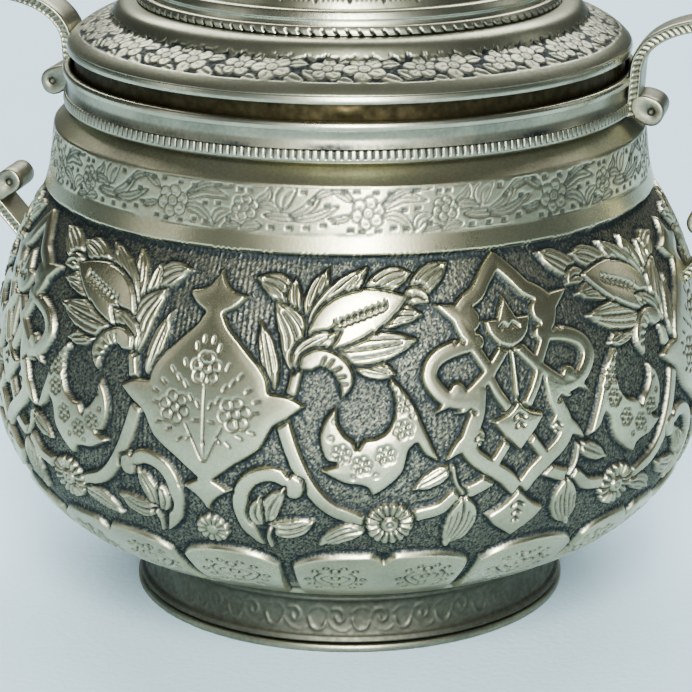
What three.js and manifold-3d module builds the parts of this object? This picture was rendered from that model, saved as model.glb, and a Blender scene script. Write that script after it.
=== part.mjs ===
// A lidded silver sugar bowl: a raised bowl on a foot ring, a neck that takes the lid's bezel,
// two ear handles soldered to neck and belly, and a lid with a screwed-on finial.
// Millimetres, +Z up. The origin is the centre of the flat ring that the foot stands on.
import * as THREE from "three";
import { mergeVertices } from "three/addons/utils/BufferGeometryUtils.js";
import Module from "manifold-3d";

const wasm = await Module();
wasm.setup();

// ---------- driving dimensions ----------

const GAP = 0.3; // room for solder between joined pieces, and for a loose seat
const SIDES = 48; // facets round the bowl, foot and lid
const SMALL_SIDES = 18; // facets round the finial and its fittings
const CURVE_STEPS = 7; // points along each curved stretch of a profile
const WIRE_STEPS = 4; // facets across the round side of a wire
const WIRE_FLAT = 0.35; // part of a half-round wire's width that is straight before it rounds over

// Foot
const FOOT_RADIUS = 34.0;
const FOOT_HEIGHT = 10.3;
const FOOT_WALL = 1.2;
const FOOT_WAIST = 0.9; // how far the wall pulls in between its two flares
const FOOT_WAIST_HEIGHT = 3.0; // upright stretch between the flares
const FOOT_SETBACK = 0.3; // wall in from the edge wire, so that the wire shows
const FOOT_WIRE_HEIGHT = 1.3;
const FOOT_WIRE_WIDTH = 1.6;

// Bowl
const BOWL_WALL = 1.6;
const SEAT_MARGIN = 2.0; // flat underside that shows outside the foot
const BELLY_RADIUS = 55.9;
const BELLY_RISE = 24.6; // underside to widest ring
const SHOULDER_RISE = 30.2; // widest ring to lower edge of the shoulder band
const BAND_FLARE = 1.7; // how much wider the band is at its lower edge
const BAND_HEIGHT = 9.8;

// Neck
const NECK_RADIUS = 42.2;
const NECK_STEP = 3.2; // neck in from the top of the shoulder band
const NECK_WALL = 1.4; // its top edge is the ledge that the lid's bezel stands on
const NECK_SLOPE = 2.6; // shoulder band to the foot of the upright neck
const NECK_HEIGHT = 2.0;
const NECK_WIRE_WIDTH = 1.3;
const COLLAR_HEIGHT = 2.5;
const COLLAR_WALL = 1.0;
const COLLAR_HOLLOW = 0.35; // depth of the collar's concave face
const RIM_HEIGHT = 1.1;
const RIM_WIDTH = 1.35;

// Lid
const LID_REVEAL = 2.3; // bezel that shows between the rim and the lid's edge
const LID_OVERHANG = 1.1; // lid's edge out from the bezel
const LID_EDGE_WIRE = 0.9;
const LID_WALL = 1.1;
const LID_EDGE_STEP = 0.2; // band in from the edge wire
const LID_SLOPE_RISE = 4.9; // edge to the corner above the convex band
const LID_SLOPE_RUN = 6.5; // edge in to that corner
const LID_SHELF_RISE = 2.6; // corner to the shelf that carries the dome
const LID_SHELF_RUN = 3.2;
const BEZEL_CLEARANCE = 0.5; // bezel to collar, all round
const BEZEL_WALL = 1.0;
const NOTCHED_WIRE_WIDTH = 1.2;
const NOTCHED_WIRE_HEIGHT = 1.1;
const DOME_INSET = 4.5; // shelf's edge in to the dome's foot
const DOME_UPRIGHT = 3.1;
const DOME_RISE = 13.6;
const DOME_WALL = 1.1;
const DOME_LEDGE = 1.6; // how far the shelf reaches in under the dome's foot
const HALF_ROUND_WIDTH = 1.7;
const HALF_ROUND_HEIGHT = 1.8;

// Finial
const TABLE_RADIUS = 5.6; // flat top of the dome
const COLLET_RADIUS = 4.9;
const COLLET_HEIGHT = 1.9;
const BUD_RADIUS = 6.2;
const BUD_HEIGHT = 14.4;
const STUD_RADIUS = 1.2;
const STUD_GRIP = 5.0; // stud length inside the bud
const STUD_TAIL = 0.9; // stud length that shows below the nut
const WASHER_RADIUS = 4.2;
const WASHER_HEIGHT = 0.8;
const NUT_RADIUS = 3.1; // centre to corner
const NUT_HEIGHT = 2.1;

// Handles
const HANDLE_TURN = THREE.MathUtils.degToRad(13.5);
const HANDLE_WIDTH = 7.0;
const HANDLE_THICKNESS = 1.9;
const HANDLE_REACH = 16.1; // landing out to the outermost point of the strip's centre line
const HANDLE_REACH_DROP = 4.5; // rim to that point, downwards
const HANDLE_CREST = 13.4; // neck out to the highest point of the centre line
const HANDLE_CREST_RISE = 8.4; // rim to that point, upwards
const LANDING_DROP = 30.2; // rim to the place where the strip meets the belly
const LANDING_ANGLE = THREE.MathUtils.degToRad(50);
const LANDING_SINK = 3.0; // extra length that is trimmed to the belly's curve
const TAIL_LENGTH = 7.0; // strip below the rim, against the neck
const TAIL_LEAN = 0.5; // how far the strip leans in towards the neck at its lower end
// How far each bend of the strip carries on straight before it turns: a larger pull is a squarer bend.
const RISE_PULL = 5.7;
const BOW_PULL = 6.8;
const SIDE_PULL = 7.2;
const FALL_PULL = 8.4;
const LANDING_PULL = 12.0;
const LOBE_RADIUS = 1.6;
const UPPER_LOBE_OUT = 2.4; // strip's centre line to the lobe's centre
const UPPER_LOBE_ALONG = 2.4; // strip's lower end to the lobe, along the strip
const LOWER_LOBE_OUT = 4.1;
const LOWER_LOBE_ALONG = 7.4; // landing to the lobe, along the strip
const EYE_RADIUS = 0.6;
const EYE_DEPTH = 1.2;

// ---------- heights and radii that follow ----------

const bowlBase = FOOT_HEIGHT + GAP;
const bellyZ = bowlBase + BELLY_RISE;
const shoulderZ = bellyZ + SHOULDER_RISE;
const bandTopZ = shoulderZ + BAND_HEIGHT;
const neckZ = bandTopZ + NECK_SLOPE;
const ledgeZ = neckZ + NECK_HEIGHT;
const collarZ = ledgeZ + GAP;
const rimZ = collarZ + COLLAR_HEIGHT + GAP;
const rimTopZ = rimZ + RIM_HEIGHT;
const seatRadius = FOOT_RADIUS + SEAT_MARGIN;
const bandTopRadius = NECK_RADIUS + NECK_STEP;
const shoulderRadius = bandTopRadius + BAND_FLARE;
const boreRadius = NECK_RADIUS + GAP;
const rimRadius = boreRadius + RIM_WIDTH;

const lidEdgeZ = rimTopZ + LID_REVEAL;
const cornerZ = lidEdgeZ + LID_SLOPE_RISE;
const shelfZ = cornerZ + LID_SHELF_RISE;
const domeZ = shelfZ + GAP;
const domeShoulderZ = domeZ + DOME_UPRIGHT;
const tableZ = domeShoulderZ + DOME_RISE;
const bezelRadius = boreRadius - BEZEL_CLEARANCE;
const lidRadius = bezelRadius + LID_OVERHANG;
const cornerRadius = lidRadius - LID_SLOPE_RUN;
const shelfRadius = cornerRadius - LID_SHELF_RUN;
const domeRadius = shelfRadius - DOME_INSET;
const holeRadius = STUD_RADIUS + GAP;

// ---------- helpers ----------

const point = (radius, height) => new THREE.Vector2(radius, height);

// Points of a cubic curve in a profile, without its first point.
function curve(start, control1, control2, end, steps = CURVE_STEPS) {
  return new THREE.CubicBezierCurve(start, control1, control2, end).getPoints(steps).slice(1);
}

// The same line moved sideways: to the left of its direction of travel for a positive distance.
function offset(line, distance) {
  return line.map((here, i) => {
    const before = line[Math.max(i - 1, 0)];
    const after = line[Math.min(i + 1, line.length - 1)];
    const along = after.clone().sub(before).normalize();
    return point(here.x - along.y * distance, here.y + along.x * distance);
  });
}

// Radius of a profile line at a height, on the stretch where it first crosses that height.
function radiusAt(line, height) {
  const i = line.findIndex((p, n) => n > 0 && (p.y - height) * (line[n - 1].y - height) <= 0);
  const [a, b] = [line[i - 1], line[i]];
  return a.x + ((b.x - a.x) * (height - a.y)) / (b.y - a.y);
}

// A solid of revolution about +Z from a profile that runs anticlockwise, seen with the axis on its left.
function turned(profile, sides = SIDES) {
  return new THREE.LatheGeometry(profile, sides).rotateX(Math.PI / 2);
}

// A ring whose section is a closed loop of points.
function ring(section, sides = SIDES) {
  return turned([...section, section[0]], sides);
}

// A plain ring with a rectangular section.
function band(inner, outer, bottom, top, sides = SIDES) {
  return ring([point(inner, bottom), point(outer, bottom), point(outer, top), point(inner, top)], sides);
}

// A ring whose outer side is rounded, as drawn wire is when it is soldered round a wall.
function halfRound(inner, width, bottom, height) {
  const section = [point(inner, bottom)];
  for (let i = 0; i <= WIRE_STEPS; i++) {
    const angle = -Math.PI / 2 + (Math.PI * i) / WIRE_STEPS;
    const radius = inner + width * (WIRE_FLAT + (1 - WIRE_FLAT) * Math.cos(angle));
    section.push(point(radius, bottom + (height / 2) * (1 + Math.sin(angle))));
  }
  section.push(point(inner, bottom + height));
  return ring(section);
}

function toSolid(geometry) {
  const bare = geometry.clone();
  bare.deleteAttribute("normal");
  bare.deleteAttribute("uv");
  const merged = mergeVertices(bare, 1e-3);
  return new wasm.Manifold(
    new wasm.Mesh({
      numProp: 3,
      vertProperties: new Float32Array(merged.attributes.position.array),
      triVerts: new Uint32Array(merged.index.array),
    }),
  );
}

function toGeometry(solid) {
  const mesh = solid.getMesh();
  const geometry = new THREE.BufferGeometry();
  geometry.setAttribute("position", new THREE.BufferAttribute(mesh.vertProperties, mesh.numProp));
  geometry.setIndex(new THREE.BufferAttribute(mesh.triVerts, 1));
  const faceted = geometry.toNonIndexed();
  faceted.computeVertexNormals();
  return faceted;
}

// ---------- finishes ----------

const silver = { color: 0x9a9a86, metalness: 1, roughness: 0.38 };
const brightSilver = { color: 0xc9c9bb, metalness: 1, roughness: 0.22 };
const tarnishedSilver = { color: 0x5f5e4c, metalness: 1, roughness: 0.5 };

const sugarBowl = new THREE.Group();

function add(name, geometry, finish, turn = 0) {
  const mesh = new THREE.Mesh(geometry, new THREE.MeshStandardMaterial(finish));
  mesh.name = name;
  mesh.rotation.z = turn;
  sugarBowl.add(mesh);
}

// ---------- foot ----------

function footRing() {
  const bottom = FOOT_WIRE_HEIGHT + GAP;
  const middle = (bottom + FOOT_HEIGHT) / 2;
  const waist = FOOT_RADIUS - FOOT_WAIST;
  const outer = [
    point(FOOT_RADIUS - FOOT_SETBACK, bottom),
    point(waist, middle - FOOT_WAIST_HEIGHT / 2),
    point(waist, middle + FOOT_WAIST_HEIGHT / 2),
    point(FOOT_RADIUS - FOOT_SETBACK, FOOT_HEIGHT),
  ];
  const inner = outer.map((p) => point(p.x - FOOT_WALL, p.y)).reverse();
  return ring([...outer, ...inner]);
}

add("foot_ring", footRing(), tarnishedSilver);
add("foot_wire", band(FOOT_RADIUS - FOOT_WIRE_WIDTH, FOOT_RADIUS, 0, FOOT_WIRE_HEIGHT), brightSilver);

// ---------- bowl ----------

// The belly's outer line, from the edge of the seat up to the shoulder band.
const widest = point(BELLY_RADIUS, bellyZ);
const seatEdge = point(seatRadius, bowlBase);
const bellyLine = [
  seatEdge,
  ...curve(
    seatEdge,
    point(seatRadius + (BELLY_RADIUS - seatRadius) * 0.5, bowlBase + BELLY_RISE * 0.1),
    point(BELLY_RADIUS, bellyZ - BELLY_RISE * 0.53),
    widest,
  ),
  ...curve(
    widest,
    point(BELLY_RADIUS, bellyZ + SHOULDER_RISE * 0.31),
    point(shoulderRadius + (BELLY_RADIUS - shoulderRadius) * 0.78, shoulderZ - SHOULDER_RISE * 0.32),
    point(shoulderRadius, shoulderZ),
  ),
];

const shoulderLine = [
  ...bellyLine,
  point(bandTopRadius + (shoulderRadius - bandTopRadius) * 0.5, shoulderZ + BAND_HEIGHT * 0.3),
  point(bandTopRadius, bandTopZ),
];

function bowlBody() {
  const outer = [point(0, bowlBase), ...shoulderLine, point(NECK_RADIUS, neckZ), point(NECK_RADIUS, ledgeZ)];
  const inside = offset(shoulderLine, BOWL_WALL).slice(1);
  const neckBore = NECK_RADIUS - NECK_WALL;
  const inner = [
    point(neckBore, ledgeZ),
    point(neckBore, neckZ - BOWL_WALL),
    ...inside.reverse(),
    point(seatRadius, bowlBase + BOWL_WALL),
    point(0, bowlBase + BOWL_WALL),
  ];
  return turned([...outer, ...inner]);
}

add("bowl_body", bowlBody(), silver);

// ---------- neck ----------

function neckCollar() {
  const outside = boreRadius + COLLAR_WALL;
  const top = collarZ + COLLAR_HEIGHT;
  return ring([
    point(boreRadius, collarZ),
    point(outside, collarZ),
    point(outside - COLLAR_HOLLOW, collarZ + COLLAR_HEIGHT * 0.35),
    point(outside - COLLAR_HOLLOW, collarZ + COLLAR_HEIGHT * 0.6),
    point(outside, top),
    point(boreRadius, top),
  ]);
}

const neckWireHeight = NECK_HEIGHT - GAP;
add("neck_wire", halfRound(boreRadius, NECK_WIRE_WIDTH, neckZ + GAP, neckWireHeight), brightSilver);
add("neck_collar", neckCollar(), silver);
add("rim_wire", halfRound(boreRadius, RIM_WIDTH, rimZ, RIM_HEIGHT), brightSilver);

// ---------- handles ----------

const gripRadius = lidRadius + GAP + HANDLE_THICKNESS / 2; // the strip clears the lid's edge as it lifts
const landingZ = rimTopZ - LANDING_DROP;
const landing = point(radiusAt(bellyLine.slice(CURVE_STEPS), landingZ), landingZ);
const landingWay = point(Math.cos(LANDING_ANGLE), Math.sin(LANDING_ANGLE));
const tail = point(gripRadius - TAIL_LEAN, rimTopZ - TAIL_LENGTH);

// The strip's centre line, in the handle's own upright plane: up the neck, over, and down to the belly.
function handleLine() {
  const leave = point(gripRadius, rimTopZ + GAP);
  const crest = point(gripRadius + HANDLE_CREST, rimTopZ + HANDLE_CREST_RISE);
  const reach = point(landing.x + HANDLE_REACH, rimTopZ - HANDLE_REACH_DROP);
  const arrive = landing.clone().addScaledVector(landingWay, LANDING_PULL);
  const end = landing.clone().addScaledVector(landingWay, -LANDING_SINK);
  return [
    tail,
    leave,
    ...curve(leave, point(leave.x, leave.y + RISE_PULL), point(crest.x - BOW_PULL, crest.y), crest, 10),
    ...curve(crest, point(crest.x + BOW_PULL, crest.y), point(reach.x, reach.y + SIDE_PULL), reach, 8),
    ...curve(reach, point(reach.x, reach.y - FALL_PULL), arrive, end, 10),
  ];
}

// A rounded lobe on the strip's inner side. Its root runs along the strip from start in direction way.
function lobe(start, way, along, out) {
  const side = point(way.y, -way.x).multiplyScalar(out < 0 ? -1 : 1);
  const place = (a, b) => start.clone().addScaledVector(way, a).addScaledVector(side, b);
  const reach = Math.abs(out);
  const outline = [place(along - LOBE_RADIUS, 0)];
  for (let i = 0; i <= 8; i++) {
    const angle = -Math.PI / 2 + (i / 8) * Math.PI * 0.85;
    outline.push(place(along + LOBE_RADIUS * Math.sin(angle), reach + LOBE_RADIUS * Math.cos(angle)));
  }
  outline.push(place(along + LOBE_RADIUS * 1.9, 0));
  return { outline, centre: place(along, reach) };
}

// A plate of the handle's width, cut to an outline in the handle's upright plane.
function plate(outline, width = HANDLE_WIDTH) {
  const shape = new THREE.Shape(outline);
  const geometry = new THREE.ExtrudeGeometry(shape, { depth: width, bevelEnabled: false, curveSegments: 6 });
  return geometry.rotateX(Math.PI / 2).translate(0, width / 2, 0);
}

// A shallow round sinking in one side face of a lobe.
function eye(centre, side) {
  const depth = EYE_DEPTH * 2;
  const drill = new THREE.CylinderGeometry(EYE_RADIUS, EYE_RADIUS, depth, 10);
  return toSolid(drill.translate(centre.x, (side * HANDLE_WIDTH) / 2, centre.y));
}

function handle() {
  const line = handleLine();
  const edge = offset(line, HANDLE_THICKNESS / 2);
  const backEdge = offset(line, -HANDLE_THICKNESS / 2).reverse();
  let solid = toSolid(plate([...edge, ...backEdge]));
  const upper = lobe(tail, point(0, 1), UPPER_LOBE_ALONG, UPPER_LOBE_OUT);
  const lower = lobe(landing, landingWay, LOWER_LOBE_ALONG, -LOWER_LOBE_OUT);
  for (const { outline, centre } of [upper, lower]) {
    solid = solid.add(toSolid(plate(outline)));
    for (const side of [-1, 1]) solid = solid.subtract(eye(centre, side));
  }
  const grown = offset(bellyLine, -GAP);
  const belly = turned([point(0, grown[0].y), ...grown, point(0, shoulderZ + GAP)]);
  const filed = rimRadius + GAP;
  const top = rimTopZ + GAP;
  const neck = turned([point(0, bandTopZ), point(filed, bandTopZ), point(filed, top), point(0, top)], SIDES * 2);
  return toGeometry(solid.subtract(toSolid(belly)).subtract(toSolid(neck)));
}

add("handle_right", handle(), silver, -HANDLE_TURN);
add("handle_left", handle(), silver, Math.PI - HANDLE_TURN);

// ---------- lid ----------

// The lid's outer line, from its edge wire up over the convex band and the cove to the shelf.
const flangeStart = point(lidRadius - LID_EDGE_STEP, lidEdgeZ + LID_EDGE_WIRE + GAP);
const corner = point(cornerRadius, cornerZ);
const shelf = point(shelfRadius, shelfZ);
const flangeLine = [
  flangeStart,
  ...curve(
    flangeStart,
    point(lidRadius - LID_SLOPE_RUN * 0.25, cornerZ - LID_SLOPE_RISE * 0.4),
    point(cornerRadius + LID_SLOPE_RUN * 0.34, cornerZ - LID_SLOPE_RISE * 0.1),
    corner,
    6,
  ),
  ...curve(
    corner,
    point(cornerRadius - LID_SHELF_RUN * 0.28, cornerZ + LID_SHELF_RISE * 0.35),
    point(cornerRadius - LID_SHELF_RUN * 0.4, shelfZ - LID_SHELF_RISE * 0.04),
    shelf,
    5,
  ),
  point(domeRadius - DOME_LEDGE, shelfZ),
];
const flangeUnderside = [
  point(flangeStart.x - LID_WALL, flangeStart.y),
  ...offset(flangeLine, LID_WALL).slice(2, -1),
  point(domeRadius - DOME_LEDGE, shelfZ - LID_WALL),
];

function lidBezel() {
  return band(bezelRadius - BEZEL_WALL, bezelRadius, ledgeZ + GAP, flangeStart.y - GAP);
}

// The dome's outer line, from its foot on the shelf to its flat table.
const domeShoulder = point(domeRadius, domeShoulderZ);
const tableEdge = point(TABLE_RADIUS, tableZ);
const domeLine = [
  point(domeRadius, domeZ),
  domeShoulder,
  ...curve(
    domeShoulder,
    point(domeRadius - (domeRadius - TABLE_RADIUS) * 0.13, domeShoulderZ + DOME_RISE * 0.55),
    point(domeRadius - (domeRadius - TABLE_RADIUS) * 0.72, tableZ - DOME_RISE * 0.3),
    tableEdge,
  ),
];

function lidDome() {
  const inside = offset(domeLine, DOME_WALL);
  const underTable = tableZ - DOME_WALL;
  const below = inside.filter((p) => p.y < underTable - 0.2).reverse();
  const outer = [...domeLine, point(holeRadius, tableZ)];
  const inner = [point(holeRadius, underTable), point(TABLE_RADIUS, underTable), ...below];
  return ring([...outer, ...inner]);
}

const halfRoundZ = domeShoulderZ - HALF_ROUND_HEIGHT;
const notchedWireInner = domeRadius + HALF_ROUND_WIDTH + GAP * 2;
const notchedWireOuter = notchedWireInner + NOTCHED_WIRE_WIDTH;

add(
  "lid_edge_wire",
  band(bezelRadius + GAP, lidRadius, lidEdgeZ, lidEdgeZ + LID_EDGE_WIRE),
  brightSilver,
);
add("lid_flange", ring([...flangeLine, ...flangeUnderside.reverse()]), silver);
add("lid_bezel", lidBezel(), tarnishedSilver);
add(
  "lid_notched_wire",
  band(notchedWireInner, notchedWireOuter, shelfZ + GAP, shelfZ + GAP + NOTCHED_WIRE_HEIGHT),
  brightSilver,
);
add("lid_dome", lidDome(), silver);
add(
  "lid_half_round_wire",
  halfRound(domeRadius + GAP, HALF_ROUND_WIDTH, halfRoundZ, HALF_ROUND_HEIGHT),
  brightSilver,
);

// ---------- finial ----------

const colletZ = tableZ + GAP;
const budZ = colletZ + COLLET_HEIGHT + GAP;
const budTopZ = budZ + BUD_HEIGHT;
const washerTopZ = tableZ - DOME_WALL - GAP;
const nutTopZ = washerTopZ - WASHER_HEIGHT - GAP;

function finialCollet() {
  const top = colletZ + COLLET_HEIGHT;
  return ring(
    [
      point(holeRadius, colletZ),
      point(COLLET_RADIUS, colletZ),
      point(COLLET_RADIUS * 0.94, colletZ + COLLET_HEIGHT * 0.4),
      point(COLLET_RADIUS * 0.62, top),
      point(holeRadius, top),
    ],
    SMALL_SIDES,
  );
}

function finialBud() {
  const neck = point(BUD_RADIUS * 0.42, budZ);
  const waist = point(BUD_RADIUS, budZ + BUD_HEIGHT * 0.38);
  const tip = point(0, budTopZ);
  const outer = [
    neck,
    ...curve(neck, point(BUD_RADIUS * 0.8, budZ + 0.6), point(BUD_RADIUS, waist.y - 2.4), waist, 5),
    ...curve(waist, point(BUD_RADIUS, waist.y + 3.2), point(0.9, budTopZ - 4.6), tip, 7),
  ];
  const boreTop = budZ + STUD_GRIP + GAP;
  return turned([point(0, boreTop), point(holeRadius, boreTop), point(holeRadius, budZ), ...outer], SMALL_SIDES);
}

function finialNut() {
  const outline = new THREE.Shape().absarc(0, 0, NUT_RADIUS, 0, Math.PI * 2);
  outline.holes.push(new THREE.Path().absarc(0, 0, holeRadius, 0, Math.PI * 2));
  const steps = 3; // absarc cuts a full turn into twice as many segments, so this is a hexagon
  const geometry = new THREE.ExtrudeGeometry(outline, {
    depth: NUT_HEIGHT,
    bevelEnabled: false,
    curveSegments: steps,
  });
  return geometry.translate(0, 0, nutTopZ - NUT_HEIGHT);
}

function finialStud() {
  const bottom = nutTopZ - NUT_HEIGHT - STUD_TAIL;
  const length = budZ + STUD_GRIP - bottom;
  const rod = new THREE.CylinderGeometry(STUD_RADIUS, STUD_RADIUS, length, SMALL_SIDES / 2);
  return rod.rotateX(Math.PI / 2).translate(0, 0, bottom + length / 2);
}

add("finial_collet", finialCollet(), silver);
add("finial_bud", finialBud(), silver);
add("finial_stud", finialStud(), tarnishedSilver);
add(
  "finial_washer",
  band(holeRadius, WASHER_RADIUS, washerTopZ - WASHER_HEIGHT, washerTopZ, SMALL_SIDES),
  tarnishedSilver,
);
add("finial_nut", finialNut(), tarnishedSilver);

export default sugarBowl;
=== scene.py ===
# %% [markdown]
# # A lidded sugar bowl in chased silver
#
# The bowl is raised by hammer from one silver sheet. Flowers, medallions and vines are chased into it,
# wires and a collar are soldered to its neck, and a lid with a screwed finial stands in the mouth. The CAD
# frame gives the true sizes. This script makes the fine surface that covers each CAD piece, and the silver
# that it is made of.

# %% Open the frame
import math

import bpy
import numpy as np
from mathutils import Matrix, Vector


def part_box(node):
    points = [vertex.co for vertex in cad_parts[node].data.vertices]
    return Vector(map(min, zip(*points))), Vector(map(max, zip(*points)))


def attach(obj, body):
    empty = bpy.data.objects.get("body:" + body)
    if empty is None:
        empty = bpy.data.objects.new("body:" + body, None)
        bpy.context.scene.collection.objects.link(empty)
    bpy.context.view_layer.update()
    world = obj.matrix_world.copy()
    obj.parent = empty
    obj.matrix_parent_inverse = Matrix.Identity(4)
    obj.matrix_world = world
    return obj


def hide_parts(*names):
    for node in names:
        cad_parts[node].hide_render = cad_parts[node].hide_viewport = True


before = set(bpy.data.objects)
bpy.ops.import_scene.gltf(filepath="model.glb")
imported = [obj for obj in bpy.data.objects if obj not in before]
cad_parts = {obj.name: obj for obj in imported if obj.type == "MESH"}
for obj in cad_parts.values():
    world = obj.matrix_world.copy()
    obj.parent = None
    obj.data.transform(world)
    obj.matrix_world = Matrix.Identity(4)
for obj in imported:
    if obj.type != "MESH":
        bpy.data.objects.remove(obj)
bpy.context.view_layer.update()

print("CAD pieces:", len(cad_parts))

# %% [markdown]
# ## Working in millimetres
#
# A silversmith thinks in tenths of a millimetre, so every size below is in millimetres and becomes metres
# only when a mesh is made. The heights and radii of the pieces are read from the CAD boxes.

# %% Sizes from the frame
MM = 0.001


def corners(node):
    """Lowest and highest corner of a CAD piece, in mm."""
    low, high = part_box(node)
    return np.array(low) / MM, np.array(high) / MM


bowl_low, bowl_high = corners("bowl_body")
foot_low, foot_high = corners("foot_ring")
foot_radius = corners("foot_wire")[1][0]
rim_low, rim_high = corners("rim_wire")
flange_low, flange_high = corners("lid_flange")
dome_low, dome_high = corners("lid_dome")
base_z, ledge_z = bowl_low[2], bowl_high[2]
belly_radius = bowl_high[0]
print("belly radius", round(belly_radius, 2), "mm, rim at", round(rim_high[2], 2), "mm")

# %% [markdown]
# ## Turned pieces
#
# Almost everything here is round. A turned piece is made as a lathe would cut it: a profile of (radius,
# height) goes round the axis. Unlike a plain lathe, each point of the surface can be lifted or sunk along
# its normal, and that is how the hammer and punch work becomes real geometry. A Screw modifier could turn
# the profile but could not carry the relief, so the mesh is filled from arrays instead.


# %% A skin over rows of points
def skin(name, points, closed, dirt_and_shade):
    """A mesh over rows of points. Columns join up, and so do rows if closed, or else both ends are capped."""
    rows, columns = points.shape[:2]
    count = rows * columns
    here = np.arange(count).reshape(rows, columns)
    after = np.roll(here, -1, axis=1)
    top = rows if closed else rows - 1
    up = np.roll(here, -1, axis=0)[:top]
    up_after = np.roll(after, -1, axis=0)[:top]
    quads = np.stack([here[:top], after[:top], up_after, up], axis=-1).reshape(-1, 4)
    verts = points.reshape(-1, 3)
    tris = np.zeros((0, 3), int)
    if not closed:
        verts = np.vstack([verts, points[0].mean(0), points[-1].mean(0)])
        first = np.stack([np.full(columns, count), after[0], here[0]], axis=-1)
        last = np.stack([np.full(columns, count + 1), here[-1], after[-1]], axis=-1)
        tris = np.vstack([first, last])
    a, b, c = verts[quads[:, 0]], verts[quads[:, 1]], verts[quads[:, 2]]
    if np.einsum("ij,ij->i", a, np.cross(b, c)).sum() < 0:
        quads = quads[:, ::-1]
        tris = tris[:, ::-1]
    mesh = bpy.data.meshes.new(name)
    mesh.vertices.add(len(verts))
    mesh.vertices.foreach_set("co", (verts * MM).astype(np.float32).ravel())
    sizes = np.concatenate([np.full(len(quads), 4), np.full(len(tris), 3)])
    mesh.loops.add(int(sizes.sum()))
    mesh.loops.foreach_set("vertex_index", np.concatenate([quads.ravel(), tris.ravel()]).astype(np.int32))
    mesh.polygons.add(len(sizes))
    mesh.polygons.foreach_set("loop_start", np.concatenate([[0], np.cumsum(sizes)[:-1]]).astype(np.int32))
    mesh.update(calc_edges=True)
    mesh.shade_smooth()
    values = np.zeros(len(verts), np.float32)
    values[:count] = np.broadcast_to(dirt_and_shade, (rows, columns)).ravel()
    mesh.attributes.new("dirt_and_shade", "FLOAT", "POINT").data.foreach_set("value", values)
    piece = bpy.data.objects.new(name, mesh)
    bpy.context.scene.collection.objects.link(piece)
    print(name, "has", len(sizes), "faces")
    return piece


# %% Profiles with rounded corners
def profile(points, steps=4, rounding=0.18):
    """A profile whose corners are rounded over. A point is (radius, height) or (radius, height, rounding)."""
    plain = np.array([p[:2] for p in points], float)
    line = []
    for i, p in enumerate(points):
        size = p[2] if len(p) > 2 else rounding
        here = plain[i]
        back = plain[i - 1] - here
        onward = plain[(i + 1) % len(points)] - here
        cut = min(size, 0.45 * np.linalg.norm(back), 0.45 * np.linalg.norm(onward))
        start = here + back / np.linalg.norm(back) * cut
        end = here + onward / np.linalg.norm(onward) * cut
        for t in np.linspace(0, 1, steps):
            line.append((1 - t) ** 2 * start + 2 * t * (1 - t) * here + t * t * end)
    return np.array(line)


def bezier(a, b, c, d, steps=60):
    """Points of a cubic curve."""
    t = np.linspace(0, 1, steps)[:, None]
    a, b, c, d = (np.array(p, float) for p in (a, b, c, d))
    return (1 - t) ** 3 * a + 3 * t * (1 - t) ** 2 * b + 3 * t * t * (1 - t) * c + t**3 * d


def walk(line, step):
    """The same line with its points a fixed step apart. Returns the points and how far along each one is."""
    line = np.asarray(line, float)
    run = np.concatenate([[0], np.cumsum(np.linalg.norm(np.diff(line, axis=0), axis=1))])
    at = np.linspace(0, run[-1], max(int(round(run[-1] / step)), 1) + 1)
    return np.stack([np.interp(at, run, line[:, 0]), np.interp(at, run, line[:, 1])], axis=1), at


# %% Turn a profile round the axis
def angles(columns):
    """Angles round the axis, from the front, growing to the right."""
    return np.arange(columns) * 2 * math.pi / columns


def turned(name, line, columns, lift, dirt_and_shade, closed=True):
    """A profile turned round the axis, with its surface lifted along its normal."""
    if closed:
        along = np.roll(line, -1, axis=0) - np.roll(line, 1, axis=0)
    else:
        along = np.gradient(line, axis=0)
    along /= np.linalg.norm(along, axis=1)[:, None]
    lift = np.broadcast_to(lift, (len(line), columns))
    radius = line[:, :1] + along[:, 1:] * lift
    height = line[:, 1:] - along[:, :1] * lift
    turn = angles(columns)
    points = np.stack([radius * np.sin(turn), -radius * np.cos(turn), height], axis=-1)
    return skin(name, points, closed, dirt_and_shade)


def surface(run, columns):
    """Degrees round the axis, and mm along the profile, at each point of a turned surface."""
    degrees = np.broadcast_to(np.degrees(angles(columns)), (len(run), columns))
    return degrees, np.broadcast_to(run[:, None], degrees.shape)


def padded(values, line, start=0, rest=0.0):
    """Values for some rows of a profile, with the rest value on all its other rows."""
    full = np.full((len(line), values.shape[1]), rest)
    full[start : start + len(values)] = values
    return full


# %% [markdown]
# ## A sheet to chase
#
# Chasing starts from a drawing on the silver. Each motif below is a line or an outline, given in mm, and
# the distance from it tells how high the silver stands: raised forms have a rounded edge, and a form that
# lies over another one cuts a thin line round itself. Sculpting by hand or drawing on an image would work
# too, but a formula gives the same bowl each time and can be mirrored round the belly.


# %% Height from drawn lines
def smooth(x):
    """0 below 0, 1 above 1, with soft ends."""
    x = np.clip(x, 0, 1)
    return x * x * (3 - 2 * x)


def flowing(points, steps=5):
    """A smooth line through the points. A third number marks a sharp corner."""
    p = np.array([q[:2] for q in points], float)
    sharp = [len(q) > 2 for q in points]
    line = [p[0]]
    for i in range(len(p) - 1):
        leg = p[i + 1] - p[i]
        ways = []
        for k in (i, i + 1):
            way = leg if sharp[k] or k in (0, len(p) - 1) else p[k + 1] - p[k - 1]
            ways.append(way / (np.linalg.norm(way) + 1e-9) * np.linalg.norm(leg))
        for t in np.arange(1, steps + 1) / steps:
            a = (2 * t**3 - 3 * t**2 + 1) * p[i] + (3 * t**2 - 2 * t**3) * p[i + 1]
            line.append(a + (t**3 - 2 * t**2 + t) * ways[0] + (t**3 - t**2) * ways[1])
    return np.array(line)


def dot(centre):
    """A line so short that it serves as a point."""
    return np.array([centre, centre], float) + [[0, 0], [0.01, 0]]


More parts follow.
